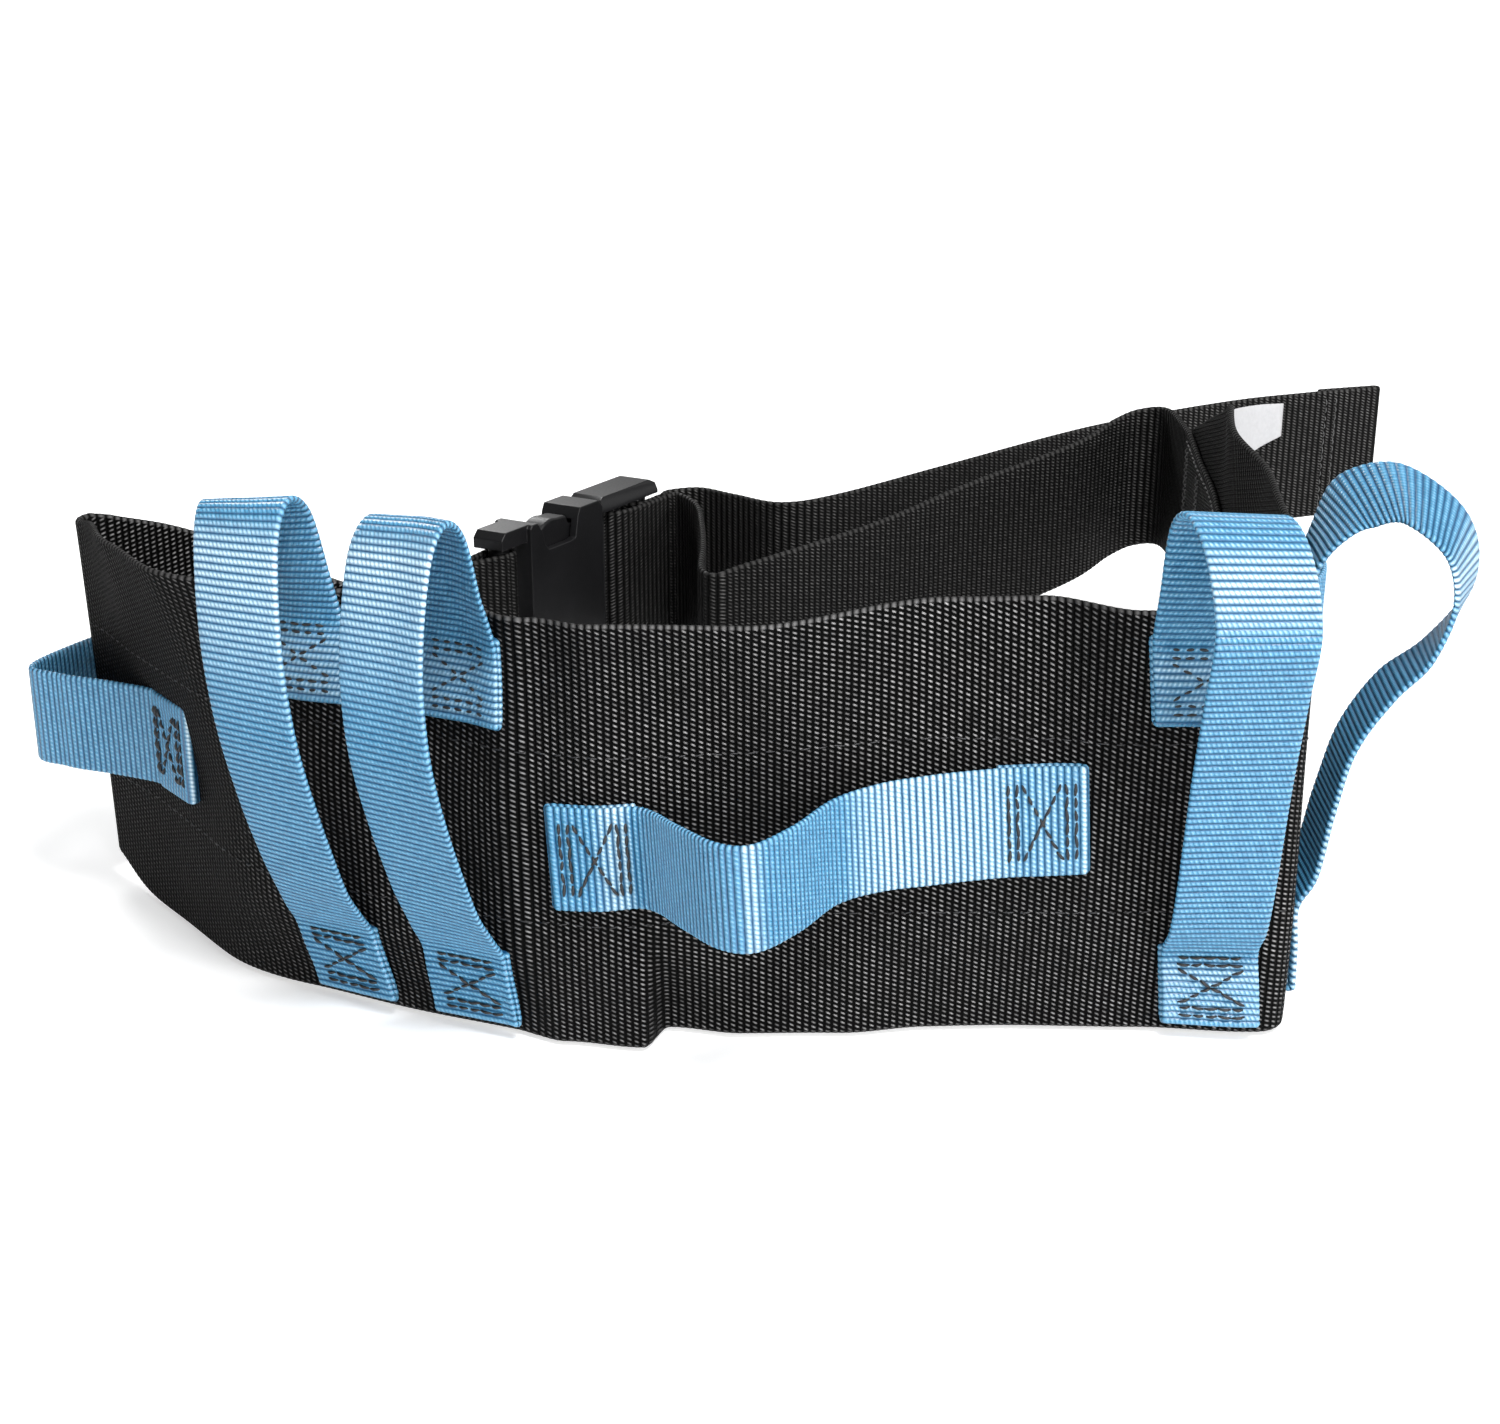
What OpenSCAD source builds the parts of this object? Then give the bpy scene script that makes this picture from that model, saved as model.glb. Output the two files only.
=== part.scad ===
// Gait (transfer) belt with seven hand grips, lying on its lower edge with the buckle closed.
// X runs along the back panel towards the strap side, +Y towards the buckle, +Z up.
// The origin is the middle of the back panel's lower edge, half way through its thickness.

/* [Webbing] */
// Height of the wide outer panel webbing
panel_h = 102; // [96:1:108]
// Height of the belt webbing sewn inside the panel
belt_h = 45; // [40:1:46]
// Width of the level grips' webbing
grip_w = 25; // [20:1:26]
// Width of the upright grips' webbing
upright_w = 22; // [20:1:24]
// Thickness of the black webbing
web_t = 1.9; // [1.5:0.1:2.0]
// Thickness of the grip webbing
grip_t = 1.6; // [1.2:0.1:1.7]

/* [Lie of the belt] */
// Middle of the back to the crease on the buckle side
buckle_crease = 67.5; // [65:0.5:72]
// Middle of the back to the crease on the strap side
strap_crease = 108.5; // [107:0.5:114]
// Length of the part that folds back at the buckle end
fold_back = 64; // [60:1:70]
// How far the strap end stands above the lower edge of the back
strap_rise = 20; // [0:1:24]

/* [Grips] */
// Length of a sewn grip end
foot_len = 20; // [16:1:22]
// How far the upright grips on the back stand out from the panel
upright_out = 35; // [32:1:44]
// How far the upright grip on the strap wing stands out from the panel
side_out = 37.5; // [32:0.5:44]
// How far the middle grip stands out
middle_out = 38; // [25:1:45]
// How far the middle grip leans out of level, in degrees
middle_tilt = 3; // [0:1:5]

/* [Buckle] */
// Half width of the buckle
buckle_half = 29; // [28:0.5:31]
// Direction in which the buckle points, in degrees from +X
buckle_heading = 60; // [50:1:65]
// Length from the socket's bar to its mouth
socket_len = 44; // [43:1:46]
// Length of the plug's frame outside the socket
plug_len = 32; // [31:1:36]

/* [Hidden] */

gap = 0.2;                       // clearance between layers that lie on each other
layer = web_t + gap;             // step from one black layer to the next
mid_z = panel_h / 2;             // height of the belt's middle line
belt_low = mid_z - belt_h / 2;   // lower edge of the belt webbing
arc_step = 4;                    // degrees a facet of a bend turns through
crease_turn = 86.5;               // turn of the strap-side crease
crease_r = 6.5;
crease_gap = 5;                  // half the angle left open at the strap-side crease
thread_w = 0.6;
thread_t = 0.35;
foot_t = 2 * grip_t + gap;       // a grip end is folded under, so it is two layers thick

// ---- paths: a station is [x, y, heading, rise] ----

function step_on(p, d, climb) = [p[0] + d * cos(p[2]), p[1] + d * sin(p[2]), p[2], p[3] + climb * d];

function arc_on(p, r, turn, climb) =
    let (s = sign(turn), h = p[2] + turn)
    [
        p[0] + s * r * (sin(h) - sin(p[2])),
        p[1] - s * r * (cos(h) - cos(p[2])),
        h,
        p[3] + climb * r * abs(turn) * PI / 180
    ];

// a leg is [straight length, turn in degrees, bend radius, climb per millimetre]
function leg(p, l) =
    let (q = step_on(p, l[0], l[3]), n = ceil(abs(l[1]) / arc_step))
    concat([p], l[0] > 0 ? [q] : [], n > 0 ? [for (k = [1 : n]) arc_on(q, l[2], l[1] * k / n, l[3])] : []);

function last(v) = v[len(v) - 1];

function all_but_last(v) = [for (k = [0 : 1 : len(v) - 2]) v[k]];

function walk(p, legs, i = 0) =
    i >= len(legs) ? [p] : let (run = leg(p, legs[i]))
        concat(all_but_last(run), walk(last(run), legs, i + 1));

function turned_round(path) = [for (k = [len(path) - 1 : -1 : 0]) path[k] - [0, 0, 180, 0]];

// the path moved to the left of its direction of travel
function beside(path, d) = [for (p = path) [p[0] - d * sin(p[2]), p[1] + d * cos(p[2]), p[2], p[3]]];

function span(a, b) = norm([a[0] - b[0], a[1] - b[1]]);

function runs(path) = [
    for (i = 0, s = 0; i < len(path); s = s + (i + 1 < len(path) ? span(path[i], path[i + 1]) : 0), i = i + 1)
        s
];

function segment_at(run, s, i = 0) = i >= len(run) - 2 || run[i + 1] >= s ? i : segment_at(run, s, i + 1);

function at(path, s) =
    let (run = runs(path), i = segment_at(run, s), t = (s - run[i]) / (run[i + 1] - run[i]))
    path[i] * (1 - t) + path[i + 1] * t;

// a smooth curve through [x, y, rise] points, with n stations to a span
function curve_point(a, b, c, d, t) =
    0.5 * (2 * b + (c - a) * t + (2 * a - 5 * b + 4 * c - d) * t * t + (3 * b - a - 3 * c + d) * t * t * t);

function curve_slope(a, b, c, d, t) =
    0.5 * ((c - a) + 2 * (2 * a - 5 * b + 4 * c - d) * t + 3 * (3 * b - a - 3 * c + d) * t * t);

function curve_station(pts, i, t) =
    let (
        m = len(pts) - 1,
        b = pts[i],
        c = pts[i + 1],
        a = i > 0 ? pts[i - 1] : 2 * b - c,
        d = i + 2 <= m ? pts[i + 2] : 2 * c - b,
        p = curve_point(a, b, c, d, t),
        v = curve_slope(a, b, c, d, t)
    )
    [p[0], p[1], atan2(v[1], v[0]), p[2]];

function curve(pts, n = 5) = concat(
    [for (i = [0 : len(pts) - 2], k = [0 : n - 1]) curve_station(pts, i, k / n)],
    [curve_station(pts, len(pts) - 2, 1)]
);

// ---- solids made along a path ----

// webbing standing on edge along a path; low and high hold the two edges' heights at each station
module edge_band(path, low, high, t) {
    n = len(path);
    corners = [
        for (i = [0 : n - 1])
        let (p = path[i], x = -sin(p[2]) * t / 2, y = cos(p[2]) * t / 2)
        each [
            [p[0] + x, p[1] + y, p[3] + low[i]],
            [p[0] - x, p[1] - y, p[3] + low[i]],
            [p[0] - x, p[1] - y, p[3] + high[i]],
            [p[0] + x, p[1] + y, p[3] + high[i]]
        ]
    ];
    sides = [
        for (i = [0 : n - 2], k = [0 : 3])
        let (a = 4 * i + k, b = 4 * i + (k + 1) % 4)
        each [[a, b, b + 4], [a, b + 4, a + 4]]
    ];
    e = 4 * (n - 1);
    caps = [[3, 2, 1], [3, 1, 0], [e, e + 1, e + 2], [e, e + 2, e + 3]];
    polyhedron(corners, concat(sides, caps));
}

module level_band(path, low, high, t) {
    edge_band(path, [for (p = path) low], [for (p = path) high], t);
}

// outline of a ribbon of thickness t drawn along a path
function ribbon(path, t) = concat(
    [for (p = beside(path, t / 2)) [p[0], p[1]]],
    [for (p = turned_round(beside(path, -t / 2))) [p[0], p[1]]]
);

// ---- lie of the panel ----

buckle_legs = [
    [buckle_crease - 3, -24.8, 14, 0],
    [58, -28, 60, 0],
    [64, -118, 5, 0],
    [fold_back, 0, 1, 0],
];
strap_back_legs = [
    [strap_crease - crease_r * tan(crease_turn / 2), crease_turn / 2 - crease_gap, crease_r, 0],
];
buckle_path = walk([0, 0, 180, 0], buckle_legs);
strap_back_path = walk([0, 0, 0, 0], strap_back_legs);
back_path = concat(
    turned_round(buckle_path),
    [for (k = [1 : len(strap_back_path) - 1]) strap_back_path[k]]
);
to_middle = last(runs(buckle_path));       // run from the buckle end to the middle of the back
back_len = last(runs(back_path));

wing_straight = 150;
wing_curve_r = 1900;
wing_curve_turn = 2;
wing_len = wing_straight + wing_curve_r * abs(wing_curve_turn) * PI / 180;
wing_climb = strap_rise / wing_len;
crease_point = arc_on(last(strap_back_path), crease_r, crease_gap, 0);
wing_start = arc_on(last(strap_back_path), crease_r, 2 * crease_gap, 0);
wing_path = walk(wing_start, [
    [0, crease_turn / 2 - crease_gap, crease_r, 0],
    [wing_straight, wing_curve_turn, wing_curve_r, wing_climb],
]);
wing_run = last(runs(wing_path));

taper_len = 68;
narrow_half = belt_h / 2 + 1;
function half_height(to_end) =
    min(panel_h / 2, narrow_half + (panel_h / 2 - narrow_half) * to_end / taper_len);

module panel(path, ends_at, t) {
    half = [for (s = runs(path)) half_height(abs(ends_at - s))];
    edge_band(path, [for (h = half) mid_z - h], [for (h = half) mid_z + h], t);
}

module panel_back() color("#1b1b1e") panel(back_path, 0, web_t);

module panel_strap_wing() color("#1b1b1e") panel(wing_path, wing_run, web_t);

module belt_inner() color("#202024")
    level_band(beside(back_path, layer), belt_low, belt_low + belt_h, web_t);

module belt_strap_wing() color("#202024")
    level_band(beside(wing_path, layer), belt_low, belt_low + belt_h, web_t);

// ---- buckle: local x from the socket's bar to the plug, y outwards, z up ----

bar_r = 3;
bar_reach = 53;                  // from the panel's end to the socket's bar
seam = last(buckle_path);
seam_heading = 54;
bar_x = seam[0] + bar_reach * cos(seam_heading);
bar_y = seam[1] + bar_reach * sin(seam_heading);
rail_in = belt_h / 2 + 1.5;      // inner face of the side rails and ears
body_half_t = 6.5;
bay_half_t = 4.1;
bay_half_w = 25.5;
frame_half_t = 5.2;
plug_x = socket_len + 0.6;       // start of the plug's frame
plug_end = plug_x + plug_len;
mid_bar_x = plug_x + 14;
mid_bar_r = 2.2;
end_bar_x = plug_end - 4;
web_exit = plug_end + 3;         // where both straps leave the plug
load_y = -6.1;
tail_y = -4;
arm_pivot = [43.4, 22];

module at_buckle() translate([bar_x, bar_y, mid_z]) rotate([0, 0, buckle_heading]) children();

// an outline in x and z, given its thickness in y
module slab(half_t) rotate([90, 0, 0]) linear_extrude(2 * half_t, center = true) children();

module both_sides() {
    children();
    mirror([0, 0, 1]) children();
}

module socket_outline() {
    half = [
        [7, buckle_half], [11, buckle_half], [15, 20], [29.5, 20],
        [31.5, buckle_half], [socket_len, buckle_half],
    ];
    polygon(concat(half, [for (k = [len(half) - 1 : -1 : 0]) [half[k][0], -half[k][1]]]));
}

module buckle_socket() color("#26272a") at_buckle() {
    difference() {
        union() {
            slab(body_half_t) socket_outline();
            both_sides() slab(5) polygon([
                [-bar_r - 2, rail_in], [-bar_r - 2, buckle_half - 2], [-bar_r, buckle_half],
                [8, buckle_half], [8, rail_in],
            ]);
            cylinder(h = 2 * rail_in + 2, r = bar_r, center = true, $fn = 32);
        }
        translate([10.5, -bay_half_t, -bay_half_w]) cube([socket_len, 2 * bay_half_t, 2 * bay_half_w]);
    }
}

module plug_rail() slab(frame_half_t) polygon([
    [plug_x, rail_in], [plug_x, buckle_half], [plug_end - 3, buckle_half],
    [plug_end, buckle_half - 3], [plug_end, rail_in],
]);

module buckle_plug() color("#26272a") at_buckle() {
    both_sides() plug_rail();
    translate([plug_x, -frame_half_t + 1.5, -rail_in - 1]) cube([4, 2 * frame_half_t - 3, 2 * rail_in + 2]);
    translate([mid_bar_x, 0, 0]) cylinder(h = 2 * rail_in + 2, r = mid_bar_r, center = true, $fn = 32);
    translate([end_bar_x, 1.4, 0]) cylinder(h = 2 * rail_in + 2, r = 3.9, center = true, $fn = 32);
    // guide tongue between the two latch arms
    slab(3) polygon([[plug_x + 1, -9], [plug_x + 1, 9], [18, 5], [16, 3], [16, -3], [18, -5]]);
}

module latch_arm() slab(3.6) polygon(concat(
    [[arm_pivot[0], 19.8], [arm_pivot[0], 24.4], [30.4, 24.4], [29.2, 26.9]],
    [for (a = [80 : 10 : 160]) [22 + 9.5 * cos(a), 18.5 + 8.6 * sin(a)]],
    [[13, 17.2], [26, 19.4]]
));

module latch_arm_upper() color("#26272a") at_buckle() latch_arm();

module latch_arm_lower() color("#26272a") at_buckle() mirror([0, 0, 1]) latch_arm();

// ---- webbing at the buckle ----

// the doubled end that carries the socket: out from the seam, round the bar and back
loop_r = bar_r + gap + web_t / 2;
loop_start = [-bar_reach + 3.2, 0];
module buckle_web_loop() color("#202024")
    translate([bar_x, bar_y, belt_low]) rotate([0, 0, seam_heading]) linear_extrude(belt_h) difference() {
        polygon(concat(
            [[loop_start[0], -layer / 2 - web_t / 2], [-16, -layer / 2 - web_t / 2 - 0.4]],
            [for (a = [-110 : 10 : 110]) (loop_r + web_t / 2) * [cos(a), sin(a)]],
            [[-16, layer / 2 + web_t / 2 + 0.4], [loop_start[0], layer / 2 + web_t / 2]]
        ));
        polygon(concat(
            [[loop_start[0] + 2, -gap / 2], [-16, -gap / 2 - 0.4]],
            [for (a = [-110 : 10 : 110]) (loop_r - web_t / 2) * [cos(a), sin(a)]],
            [[-16, gap / 2 + 0.4], [loop_start[0] + 2, gap / 2]]
        ));
    }

wrap_path = curve([
    [web_exit, load_y, 0], [end_bar_x, load_y, 0], [mid_bar_x + 4, load_y + 0.5, 0],
    [mid_bar_x - 3, load_y + 2, 0], [mid_bar_x - 6, 0, 0], [mid_bar_x, mid_bar_r + gap + web_t / 2, 0],
    [mid_bar_x + 6, 1, 0], [end_bar_x - 4, tail_y + 0.6, 0], [end_bar_x, tail_y, 0], [web_exit, tail_y, 0],
]);

module plug_web_wrap() color("#202024")
    translate([0, 0, belt_low - mid_z]) at_buckle()
        linear_extrude(belt_h) polygon(ribbon(wrap_path, web_t));

// a point of the buckle's frame, in plan
function from_buckle(x, y) = [
    bar_x + x * cos(buckle_heading) - y * sin(buckle_heading),
    bar_y + x * sin(buckle_heading) + y * cos(buckle_heading),
    0
];

// the load strap: from the plug in to a crease, along the front, round and back to the panel's strap end
wing_end = last(wing_path);
load_start = step_on(wing_end, 0.5, 0);
load_first = [
    load_start[0] - layer * sin(load_start[2]),
    load_start[1] + layer * cos(load_start[2]),
    strap_rise
];
load_path = curve([
    from_buckle(web_exit + 0.4, load_y), from_buckle(web_exit + 5, load_y - 1.5),
    [-32, 212, 0], [-30, 190, 0], [-29, 160, 1], [-29, 136, 1], [-25, 129, 1], [-17, 135, 2],
    [20, 172, 4], [50, 204, 8], [86, 237, 13], [101, 254, 17], [110, 260, 19], [118, 255, strap_rise],
    load_first,
]);

module load_strap() color("#202024") level_band(load_path, belt_low, belt_low + belt_h, web_t);

// the free end lies outside the load strap and is folded over at its tip
tail_gap = 1;                    // lets the free end swing at the plug
tail_curve = curve([
    from_buckle(web_exit + tail_gap, tail_y), from_buckle(web_exit + 7, tail_y + 0.6),
    [-31, 232, 0], [-20, 223, 0], [-6, 213, 0], [12, 220, 1],
    [47, 250, 3], [100, 295, 6], [150, 325, 8], [185, 338, 9],
]);
hem_len = 24;
tail_path = concat(all_but_last(tail_curve), walk(last(tail_curve), [
    [hem_len, 178, 0.5 * layer, 0],
    [hem_len - 2, 0, 1, 0],
]));

module strap_tail() color("#202024") level_band(tail_path, belt_low, belt_low + belt_h, web_t);

// ---- grips: on the panel, local x runs along it, -y stands out from it ----

module on_path(path, s) {
    p = at(path, s);
    translate([p[0], p[1], p[3]]) rotate([0, 0, p[2]]) children();
}

module on_back(u) on_path(back_path, to_middle + u) children();

module on_wing(s) on_path(wing_path, s) children();

face = web_t / 2 + gap;          // the inner face of whatever is sewn to the outside of the panel
loop_n = face + foot_t - grip_t / 2;
upright_low = [3, 3 + foot_len]; // heights of the lower sewn end
upright_high = [77, 77 + foot_len];
cut_low = 27;                    // heights where the swinging loop parts from its sewn ends
cut_high = 105;

// the free part of an upright grip, as [share of how far it stands out, height]
bow_top = [[0.83, 120], [0.62, 126], [0.4, 122], [0.23, 108]];
bow_buckle_side = concat([[0.24, 29], [0.5, 42], [0.88, 69], [1, 88], [0.97, 104]], bow_top);
bow_strap_side = concat([[0.23, 29], [0.36, 42], [0.58, 69], [0.78, 90], [0.93, 106]], bow_top);
bow_wing = [
    [0.2, 30], [0.29, 45], [0.4, 60], [0.6, 73], [0.83, 84],
    [1, 100], [0.94, 112], [0.64, 119], [0.37, 116], [0.21, 107],
];

// centre line of an upright grip as [distance out, height]
function upright_curve(out, bow) = curve(concat(
    [[loop_n, upright_low[0], 0], [loop_n, upright_low[1] - 1, 0]],
    [for (p = bow) [p[0] * out, p[1], 0]],
    [[loop_n, upright_high[1] - 1, 0], [loop_n, upright_high[0], 0]]
), 6);

module upright_ribbon(out, bow) rotate([90, 0, -90]) linear_extrude(upright_w, center = true)
    polygon(ribbon(upright_curve(out, bow), grip_t));

// an upright grip sits askew: it moves along the panel by lean[0] for each mm of height above the middle
// of its lower sewn end, and by lean[1] for each mm it stands out
module askew(lean) multmatrix([
    [1, -lean[1], lean[0], -lean[0] * (upright_low[0] + upright_low[1]) / 2 - lean[1] * loop_n],
    [0, 1, 0, 0],
    [0, 0, 1, 0],
]) children();

// the layer folded under, and the fold that joins it to the outer layer
module upright_foot(z) {
    translate([-upright_w / 2, -face - grip_t, z[0]]) cube([upright_w, grip_t, z[1] - z[0]]);
    translate([-upright_w / 2, -face - foot_t, z[0]]) cube([upright_w, foot_t, grip_t]);
}

module between_heights(low, high) intersection() {
    children();
    translate([-50, -100, low]) cube([100, 200, high - low]);
}

module upright_ends(out, bow) {
    between_heights(0, cut_low) upright_ribbon(out, bow);
    between_heights(upright_high[0] - 2, cut_high) intersection() {
        upright_ribbon(out, bow);
        translate([-50, -9.5, 0]) cube([100, 20, 200]);
    }
    upright_foot(upright_low);
    upright_foot(upright_high);
}

module upright_loop(out, bow) difference() {
    upright_ribbon(out, bow);
    translate([-50, -50, 0]) cube([100, 100, cut_low + 0.3]);
    translate([-50, -9.8, 0]) cube([100, 20, cut_high + 0.3]);
}

upright_u = [-112.5, -78.5, 90.5];
upright_lean = [[-0.09, 0.2], [0, 0], [-0.09, 0.29]];
wing_lean = [0.3, -0.65];

// where the k-th upright grip of the back is sewn
module upright_place(k) on_back(upright_u[k]) askew(upright_lean[k]) children();

upright_wing_s = 24;

module wing_place() on_wing(upright_wing_s) askew(wing_lean) children();

// middle grip: level, sewn at both ends, arched out between them
middle_half = 60;
middle_curve = curve([
    [-middle_half, -loop_n, 0], [-middle_half + foot_len - 1, -loop_n, 0],
    [-36, -9, 0], [-30, -0.6 * middle_out, 0],
    [-23, -0.91 * middle_out, 0], [-15, -middle_out, 0],
    [-6, -0.76 * middle_out, 0], [3, -0.38 * middle_out, 0],
    [13, -8.5, 0], [24, -6.5, 0], [middle_half - foot_len + 1, -loop_n, 0], [middle_half, -loop_n, 0],
], 6);
middle_cut = [-35.5, 15];

module level_grip(path)
    translate([0, 0, mid_z - grip_w / 2]) linear_extrude(grip_w) polygon(ribbon(path, grip_t));

module foot_under(x, fold_x) {
    translate([x, -face - grip_t, mid_z - grip_w / 2]) cube([foot_len, grip_t, grip_w]);
    translate([fold_x, -face - foot_t, mid_z - grip_w / 2]) cube([grip_t, foot_t, grip_w]);
}

module tilted() translate([0, 0, mid_z]) rotate([0, -middle_tilt, 0]) translate([0, 0, -mid_z]) children();

module grip_middle() color("#3fa0d6") tilted() intersection() {
    level_grip(middle_curve);
    translate([middle_cut[0] + 0.3, -100, 0]) cube([middle_cut[1] - middle_cut[0] - 0.6, 200, 200]);
}

module grip_middle_ends() color("#3fa0d6") tilted() {
    difference() {
        level_grip(middle_curve);
        translate([middle_cut[0], -100, 0]) cube([middle_cut[1] - middle_cut[0], 200, 200]);
    }
    foot_under(-middle_half, -middle_half);
    foot_under(middle_half - foot_len, middle_half - grip_t);
}

// end grips: sewn near the end of each side and carried round the outside of the bend
buckle_end_u = [-175, -to_middle + 27];
strap_end_s = [72, wing_run - 27];

function out_from(path, s, n) = let (p = at(path, s)) [p[0] + n * sin(p[2]), p[1] - n * cos(p[2]), p[3]];

// places along a sewn end whose middle is at s
function foot_places(s, n) = [for (k = [0 : n]) s - foot_len / 2 + foot_len * k / n];

// down one sewn end, out through the distances in outs and down to the other
function end_grip_curve(path, s0, s1, outs) =
    let (m = len(outs) + 1, free = s1 - s0 - foot_len)
    curve(concat(
        [for (s = foot_places(s0, 4)) out_from(path, s, loop_n)],
        [for (k = [1 : m - 1]) out_from(path, s0 + foot_len / 2 + free * k / m, outs[k - 1])],
        [for (s = foot_places(s1, 4)) out_from(path, s, loop_n)]
    ), 5);

buckle_end_curve = end_grip_curve(
    back_path, to_middle + buckle_end_u[1], to_middle + buckle_end_u[0], [10, 16, 18, 17, 10]);
strap_end_curve = end_grip_curve(wing_path, strap_end_s[0], strap_end_s[1], [10, 18, 25, 24, 10]);

first_free = 23;                 // station where the swinging loop of an end grip starts

// everything between two planes square to the line that joins the loop's two roots
module between_roots(path, inset) {
    p = path[first_free];
    q = path[len(path) - 1 - first_free];
    translate([p[0], p[1], 0]) rotate([0, 0, atan2(q[1] - p[1], q[0] - p[0])])
        translate([inset, -150, -10]) cube([span(p, q) - 2 * inset, 300, 220]);
}

module grip_band(path) level_band(path, mid_z - grip_w / 2, mid_z + grip_w / 2, grip_t);

module strap_end_loop() intersection() {
    grip_band(strap_end_curve);
    between_roots(strap_end_curve, 0.15);
}

// everything outside the bend and further than r from the line that joins the loop's two roots
root_r = 14.6;
module round_the_bend(path, r) {
    p = path[first_free];
    q = path[len(path) - 1 - first_free];
    translate([p[0], p[1], mid_z]) rotate([0, 0, atan2(q[1] - p[1], q[0] - p[0])]) difference() {
        translate([-100, -100, -60]) cube([300, 99, 120]);
        translate([-101, 0, 0]) rotate([0, 90, 0]) cylinder(h = 302, r = r, $fn = 64);
    }
}

module buckle_end_loop() intersection() {
    grip_band(buckle_end_curve);
    round_the_bend(buckle_end_curve, root_r + 0.3);
}

// the layer folded under, and the fold at its free end
module end_grip_foot(path, s, fold_s) {
    under = [for (c = foot_places(s, 4)) at(path, c)];
    grip_band(beside(under, -face - grip_t / 2 - gap / 2));
    p = at(path, fold_s);
    translate([p[0], p[1], p[3] + mid_z - grip_w / 2]) rotate([0, 0, p[2]])
        translate([-grip_t / 2, -face - foot_t, 0]) cube([grip_t, foot_t - gap, grip_w]);
}

// the child is the space of the loop that swings
module end_grip_ends(path, grip_curve, s0, s1) {
    difference() {
        grip_band(grip_curve);
        children();
    }
    end_grip_foot(path, s0, s0 - foot_len / 2 + grip_t / 2);
    end_grip_foot(path, s1, s1 + foot_len / 2 - grip_t / 2);
}

module grip_buckle_end() color("#3fa0d6") buckle_end_loop();

module grip_strap_end() color("#3fa0d6") strap_end_loop();

module grip_buckle_end_ends() color("#3fa0d6")
    end_grip_ends(back_path, buckle_end_curve, to_middle + buckle_end_u[1], to_middle + buckle_end_u[0])
        round_the_bend(buckle_end_curve, root_r);

module grip_strap_end_ends() color("#3fa0d6")
    end_grip_ends(wing_path, strap_end_curve, strap_end_s[0], strap_end_s[1])
        between_roots(strap_end_curve, 0);

// ---- thread: each sewn end has two bars across it at both ends and a cross between them ----

module thread_bar(len, angle) rotate([0, angle, 0]) cube([len, thread_t, thread_w], center = true);

// lies in x and z, centred, with the bars along z
module box_cross(web_w = grip_w) {
    long = foot_len - 5;
    wide = web_w - 7;
    for (x = [-long / 2, -long / 2 + 2, long / 2 - 2, long / 2]) translate([x, 0, 0]) thread_bar(wide, 90);
    diagonal = norm([long - 6, wide]);
    for (s = [-1, 1]) thread_bar(diagonal, s * atan2(wide, long - 6));
}

thread_n = face + foot_t + 0.05 + thread_t / 2;
bend_lift = 0.5;                 // the wing's curve needs its thread a little further out

module cross_upright() for (z = [upright_low, upright_high])
    translate([0, -thread_n, (z[0] + z[1]) / 2]) rotate([0, 90, 0]) box_cross(upright_w);

module cross_level() translate([0, -thread_n, mid_z]) box_cross();

module grip_stitching_back() color("#111114") {
    for (k = [0 : 2]) upright_place(k) cross_upright();
    tilted() for (x = [-1, 1]) translate([x * (middle_half - foot_len / 2), 0, 0]) cross_level();
    for (u = buckle_end_u) on_back(u) cross_level();
}

module grip_stitching_wing() color("#111114") {
    wing_place() cross_upright();
    for (s = strap_end_s) on_wing(s) translate([0, -bend_lift, 0]) cross_level();
}

inner_face = layer + web_t / 2 + 0.05 + thread_t / 2;
row_in = 2.2;                    // from the belt's edge to its row of stitches

module edge_rows(path) for (z = [belt_low + row_in, belt_low + belt_h - row_in])
    level_band(beside(path, inner_face), z - thread_w / 2, z + thread_w / 2, thread_t);

module edge_stitching_back() color("#8a8a8a") edge_rows(back_path);

module edge_stitching_wing() color("#8a8a8a") edge_rows(wing_path);

module seam_row(half) cube([thread_w, thread_t, 2 * half], center = true);

module seam_stitching_buckle() color("#8a8a8a")
    translate([bar_x, bar_y, mid_z]) rotate([0, 0, seam_heading])
        for (x = [4, 7, 12]) translate([loop_start[0] + x, layer / 2 + web_t / 2 + 0.3 + thread_t / 2, 0])
            seam_row(belt_h / 2 - 2.5);

module seam_stitching_strap() color("#8a8a8a") for (s = [4, 7, 30, 33]) on_wing(wing_run - s)
    translate([0, inner_face + (s > 20 ? 0.02 : 0), mid_z]) seam_row(belt_h / 2 - 4);

module tail_stitching() color("#8a8a8a") {
    tip = last(tail_curve);
    for (x = [4, 8]) translate([tip[0], tip[1], tip[3] + mid_z]) rotate([0, 0, tip[2]])
        translate([x, -web_t / 2 - 0.05 - thread_t / 2, 0]) seam_row(belt_h / 2 - 2.5);
}

// ---- care label: a blank tab sewn to the outside near the strap end ----

label_w = 20;
label_t = 0.4;
label_s = wing_run - 48;
label_curve = curve([[0, -face - 0.5, 0], [9, -face - 4, 0], [19, -face - 12, 0], [25, -face - 20, 0]], 4);

module care_label() color("white") on_wing(label_s) translate([0, 0, 74]) linear_extrude(label_w)
    polygon(ribbon(label_curve, label_t));

// ---- placed grips ----

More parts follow.
